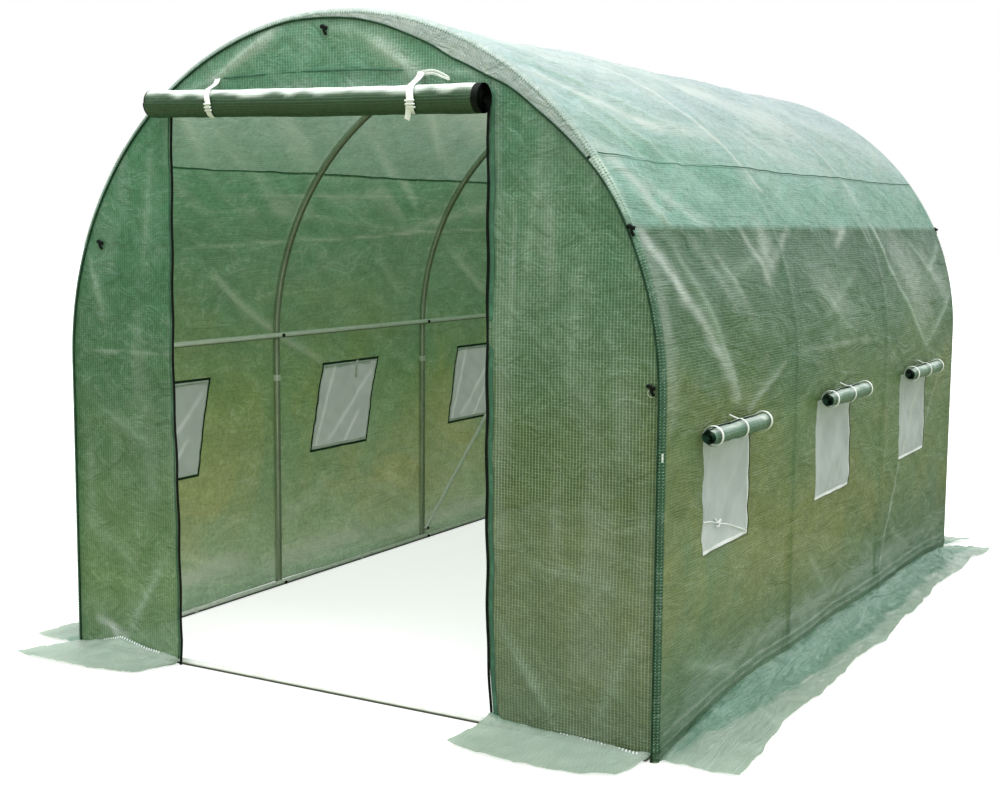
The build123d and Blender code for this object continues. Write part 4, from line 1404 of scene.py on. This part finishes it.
def window_net(name, side, window, seed):
    """A net panel just inside its opening, with a doubled white hem."""
    centre, width, lean = window
    near = centre - width / 2
    far = centre + width / 2
    hem = 0.007 if side > 0 else 0.005
    ys = steps([near - NET_OVERLAP, near, near + hem, far - hem, far, far + NET_OVERLAP], GRID)
    zs = steps([SILL - NET_OVERLAP, SILL, SILL + FOOT_HEM, HEAD - hem, HEAD, HEAD + NET_OVERLAP], GRID)
    z_grid, y_grid = np.meshgrid(zs, ys, indexing="ij")
    level = (z_grid - SILL) / (HEAD - SILL) - 0.5
    y_lean = y_grid + lean * level
    arc = SHOULDER_ARC + SPRING - z_grid
    points = cover_point(side * arc, y_lean)
    middle = np.sin(np.pi * np.clip((y_grid - ys[0]) / (ys[-1] - ys[0]), 0, 1))
    middle = middle * np.sin(np.pi * np.clip((z_grid - zs[0]) / (zs[-1] - zs[0]), 0, 1))
    slack = 0.006 * middle * smooth_noise(y_grid + 0.5 * z_grid, z_grid - y_grid, 0.05, 0.25, seed)
    slack += 0.004 * middle
    points[..., 0] -= side * (0.0025 + np.abs(slack))
    y_mid = np.abs((ys[:-1] + ys[1:]) / 2 - centre)[None, :]
    z_mid = ((zs[:-1] + zs[1:]) / 2)[:, None]
    hemmed = (y_mid > width / 2 - hem) | (z_mid < SILL + FOOT_HEM) | (z_mid > HEAD - hem)
    bound = (y_mid > width / 2) | (z_mid < SILL) | (z_mid > HEAD)
    slots = (hemmed.astype(int) + bound).ravel()
    folds = stroke(y_grid, z_grid, (centre - 0.10, HEAD), (centre - 0.16, SILL), 0.5, 0.007)
    folds += stroke(y_grid, z_grid, (centre + 0.15, HEAD - 0.05), (centre - 0.08, SILL + 0.03), 0.4, 0.010)
    folds += stroke(y_grid, z_grid, (centre + 0.10, SILL + 0.12), (centre + 0.02, SILL), 0.5, 0.008)
    if name == "right_window_net_3":
        folds += stroke(y_grid, z_grid, (centre + 0.15, HEAD - 0.02), (centre - 0.14, SILL), 1.0, 0.010)
    cloth = net_bright if side > 0 else net_shaded
    piece = grid_piece(name, points, np.stack([y_grid, z_grid], axis=-1), cloth,
                       extra=[net_hem, dark_tape], face_slots=slots, marks={"wear_and_highlight": folds})


for side_name, side, windows, seed in (("right", 1, RIGHT_WINDOWS, 90), ("left", -1, LEFT_WINDOWS, 95)):
    for number, window in enumerate(windows, 1):
        window_net(f"{side_name}_window_net_{number}", side, window, seed + number)


# A thin knotted tie, sewn to both sides of the first right window: share of its width, height over the sill
TIE_LINE = ((-0.49, 0.092), (-0.30, 0.082), (-0.16, 0.070), (0.10, 0.050), (0.49, 0.008))
TIE_KNOT = ((-0.22, 0.086), (-0.17, 0.072), (-0.12, 0.078), (-0.15, 0.062), (-0.20, 0.064))
centre, width, _ = RIGHT_WINDOWS[0]
parts = []
for line, thick in ((TIE_LINE, 0.0018), (TIE_KNOT, 0.0030)):
    path = [cover_point(SHOULDER_ARC + SPRING - SILL - rise, centre + share * width) + (0.0005, 0, 0)
            for share, rise in line]
    parts.append(sweep(smooth_path(path, 6), round_profile(thick, 7)))
trim("window_tie", parts, net_hem)

# A strap that hangs inside over the second left window, by its points' distance below the window's head
STRAP_DROPS = (-0.006, 0.02, 0.04, 0.062)
centre, _, lean = LEFT_WINDOWS[1]
path = [cover_point(-(SHOULDER_ARC + SPRING - HEAD + drop), centre + 0.035 + lean * 0.4 - drop * 0.1)
        + (0.013, 0, 0) for drop in STRAP_DROPS]
strap = sweep(smooth_path(path, 4), band_profile(0.018, 0.002), side=(0, 1, 0))
trim("window_strap", [strap], net_hem)


# Door zips along the doorway's edges, and the sewn strips beside them

def jamb_band(side, low, high, off, out, profile):
    """A band along the doorway's edge, set off from it and out from the front panel."""
    heights = np.linspace(low, high, 150)
    edge_x = door_jamb(heights, side) + side * off
    path = np.stack([edge_x, np.full(150, FRONT_PANEL_Y - out), heights], axis=1)
    return sweep(path, profile, side=(1, 0, 0))


zips = [jamb_band(side, 0.012, DOOR_TOP - 0.004, -0.002, 0.003, band_profile(0.008, 0.004))
        for side in (-1, 1)]
trim("door_zips", zips, black, "door_zips")
# The narrow strip left of the left zip is painted shade beside the doorway's edge; the wider right one is
# the zip's sewn tape
strips = [jamb_band(side, 0.03, DOOR_TOP, ZIP_STRIP / 2 + 0.003, 0.0022, band_profile(width, 0.002))
          for side, width in ((-1, ZIP_STRIP * 0.3), (1, ZIP_STRIP))]
trim("zip_strips", strips, seam_tape)


# Webbing ties

def door_tie(places, top_z, width, end_turn):
    """A flat band from the gable over the front of the rolled door to under it, and its knot.

    places are its x at the gable, on the front of the roll and at its end.
    """
    first, front, last = places
    r = roll_radius + 0.0012
    cy = roll_centre[1]
    cz = roll_centre[2] - ROLL_TILT * 2 * (front - roll_centre[0]) / roll_length
    path = [(first, FRONT_FACE - 0.003, top_z),
            (first * 0.8 + front * 0.2, FRONT_FACE - 0.022, top_z - 0.018)]
    for degrees in range(15, end_turn + 1, 15):
        turn = math.radians(degrees)
        x = np.interp(degrees, (15, 90, 180), (first * 0.6 + front * 0.4, front, last))
        path.append((x, cy - r * math.sin(turn), cz + r * math.cos(turn) - 0.002))
    parts = [sweep(smooth_path(path, 5), band_profile(width, 0.0022), side=(1, 0, 0))]
    for degrees in (96, 108, 119):
        turn = math.radians(degrees)
        y = cy - (r + 0.0022) * math.sin(turn)
        z = cz + (r + 0.0022) * math.cos(turn) - 0.002
        ridge = [(front - width * 0.62, y, z - 0.001), (front, y - 0.001, z),
                 (front + width * 0.62, y, z - 0.001)]
        parts.append(sweep(smooth_path(ridge, 4), round_profile(0.0027, 7)))
    return parts


parts = door_tie((-0.396, -0.362, -0.372), 1.772, 0.019, 165)
parts += door_tie((0.300, 0.319, 0.306), 1.762, 0.023, 150)
under = roll_centre[2] - roll_radius - ROLL_TILT * 0.6
tail_path = [(0.309, roll_centre[1] - 0.034, under + 0.014), (0.305, roll_centre[1] - 0.030, under - 0.002),
             (0.300, roll_centre[1] - 0.028, under - 0.014)]
parts.append(sweep(smooth_path(tail_path, 6), band_profile(0.018, 0.002), side=(1, 0, 0)))
for lift in (0.0, 0.008):
    loose_path = [(0.304, FRONT_FACE - 0.006, 1.752 + lift), (0.345, FRONT_FACE - 0.016, 1.752 + lift),
                  (0.385, FRONT_FACE - 0.032, 1.740 + lift), (0.410, FRONT_FACE - 0.042, 1.733 + lift * 0.4)]
    parts.append(sweep(smooth_path(loose_path, 6), band_profile(0.008, 0.002), side=(0, -0.5, 0.8)))
trim("door_roll_ties", parts, webbing, "door_roll_ties")

parts = []
turns = np.linspace(0, 2 * math.pi, 20, endpoint=False)
for side_name, sign in (("right", 1), ("left", -1)):
    for number in (1, 2, 3):
        centre, size = node_box(f"{side_name}_window_roll_{number}")
        r = size[2] / 2 + 0.0008
        y = centre[1] + TIE_PLACE * size[1]
        path = [(sign * (COVER_OUTSIDE + 0.001), y, centre[2] + r + 0.008)]
        for turn in np.radians(np.arange(-10, 231, 24)):
            path.append((centre[0] + sign * r * math.sin(turn), y, centre[2] + r * math.cos(turn)))
        parts.append(sweep(smooth_path(path, 4), band_profile(0.009, 0.0020), side=(0, 1, 0)))
        for place in RING_PLACES:
            y = centre[1] + place * size[1]
            ring = [centre[0] + r * np.sin(turns), np.full(20, y), centre[2] + r * np.cos(turns)]
            parts.append(sweep(np.stack(ring, axis=1), band_profile(0.011, 0.0020), side=(0, 1, 0),
                               closed=True))
trim("window_roll_ties", parts, webbing, "window_roll_ties")


# Camera, light and floor

camera_data = bpy.data.cameras.new("camera")
camera_data.sensor_width = SENSOR
camera_data.lens = FOCAL * SENSOR / FRAME_WIDTH
camera_data.clip_end = 200
camera = bpy.data.objects.new("camera", camera_data)
bpy.context.scene.collection.objects.link(camera)
look = Vector((-math.sin(YAW) * math.cos(PITCH), math.cos(YAW) * math.cos(PITCH), -math.sin(PITCH)))
right = look.cross(Vector((0, 0, 1))).normalized()
up = right.cross(look)
turned_right = right * math.cos(ROLL) + up * math.sin(ROLL)
turned_up = up * math.cos(ROLL) - right * math.sin(ROLL)
camera.matrix_world = Matrix((
    (turned_right.x, turned_up.x, -look.x, CAMERA[0]),
    (turned_right.y, turned_up.y, -look.y, CAMERA[1]),
    (turned_right.z, turned_up.z, -look.z, CAMERA[2]),
    (0, 0, 0, 1),
))
bpy.context.scene.camera = camera

# Light of the world from the level to straight overhead
OVERHEAD = [(0.0, (0.26, 0.28, 0.22)), (0.12, (0.34, 0.36, 0.32)), (0.5, (0.62, 0.63, 0.63)),
            (1.0, (1.0, 1.0, 1.0))]
world = bpy.data.worlds.new("studio")
bpy.context.scene.world = world
s = Shader(world)
aim = s.add("TexCoord").outputs["Generated"]
level = s.add("SeparateXYZ", [(0, aim)]).outputs[2]
behind = s.add("VectorMath", [(0, aim), (1, (-0.10, 0.96, 0.26))], operation="DOT_PRODUCT")
behind = s.fit(behind.outputs["Value"], 0.55, 0.98)
colour = s.blend(behind, s.ramp(level, OVERHEAD), (0.95, 1.0, 1.0))
lit = s.add("Background", [("Color", colour), ("Strength", 2.0)]).outputs[0]
plain = s.add("Background", [("Color", (1, 1, 1, 1)), ("Strength", 1.0)]).outputs[0]
seen = s.add("LightPath").outputs["Is Camera Ray"]
s.finish(s.add("MixShader", [(0, seen), (1, lit), (2, plain)]).outputs[0], "OutputWorld")


def soft_light(name, place, target, size, power):
    """A large square light aimed at a point."""
    data = bpy.data.lights.new(name, "AREA")
    data.size = size
    data.energy = power
    lamp = bpy.data.objects.new(name, data)
    lamp.location = place
    lamp.rotation_euler = (Vector(target) - Vector(place)).to_track_quat("-Z", "Y").to_euler()
    bpy.context.scene.collection.objects.link(lamp)


soft_light("sky_key", (3.0, -3.5, 6.5), (0, 0, 1.2), 2.0, 90)
soft_light("door_top", (0.2, -2.1, 4.0), (0, -1.6, 1.7), 1.4, 45)

floor_mesh = bpy.data.meshes.new("floor")
floor_mesh.from_pydata([(-60, -60, 0), (60, -60, 0), (60, 60, 0), (-60, 60, 0)], [], [(0, 1, 2, 3)])
floor = bpy.data.objects.new("floor", floor_mesh)
bpy.context.scene.collection.objects.link(floor)
s = new_material("pale_floor")
matt = s.add("BsdfDiffuse", [("Color", (0.75, 0.75, 0.75, 1))]).outputs[0]
glow = s.add("Emission", [("Color", (1, 1, 1, 1)), ("Strength", 0.65)]).outputs[0]
pale = s.add("AddShader", [(0, matt), (1, glow)]).outputs[0]
lawn = s.add("BsdfDiffuse", [("Color", (0.36, 0.40, 0.26, 1))]).outputs[0]
seen = s.add("LightPath").outputs["Is Camera Ray"]
floor_mesh.materials.append(s.finish(s.add("MixShader", [(0, seen), (1, lawn), (2, pale)]).outputs[0]))

bpy.context.scene.view_settings.view_transform = "Standard"
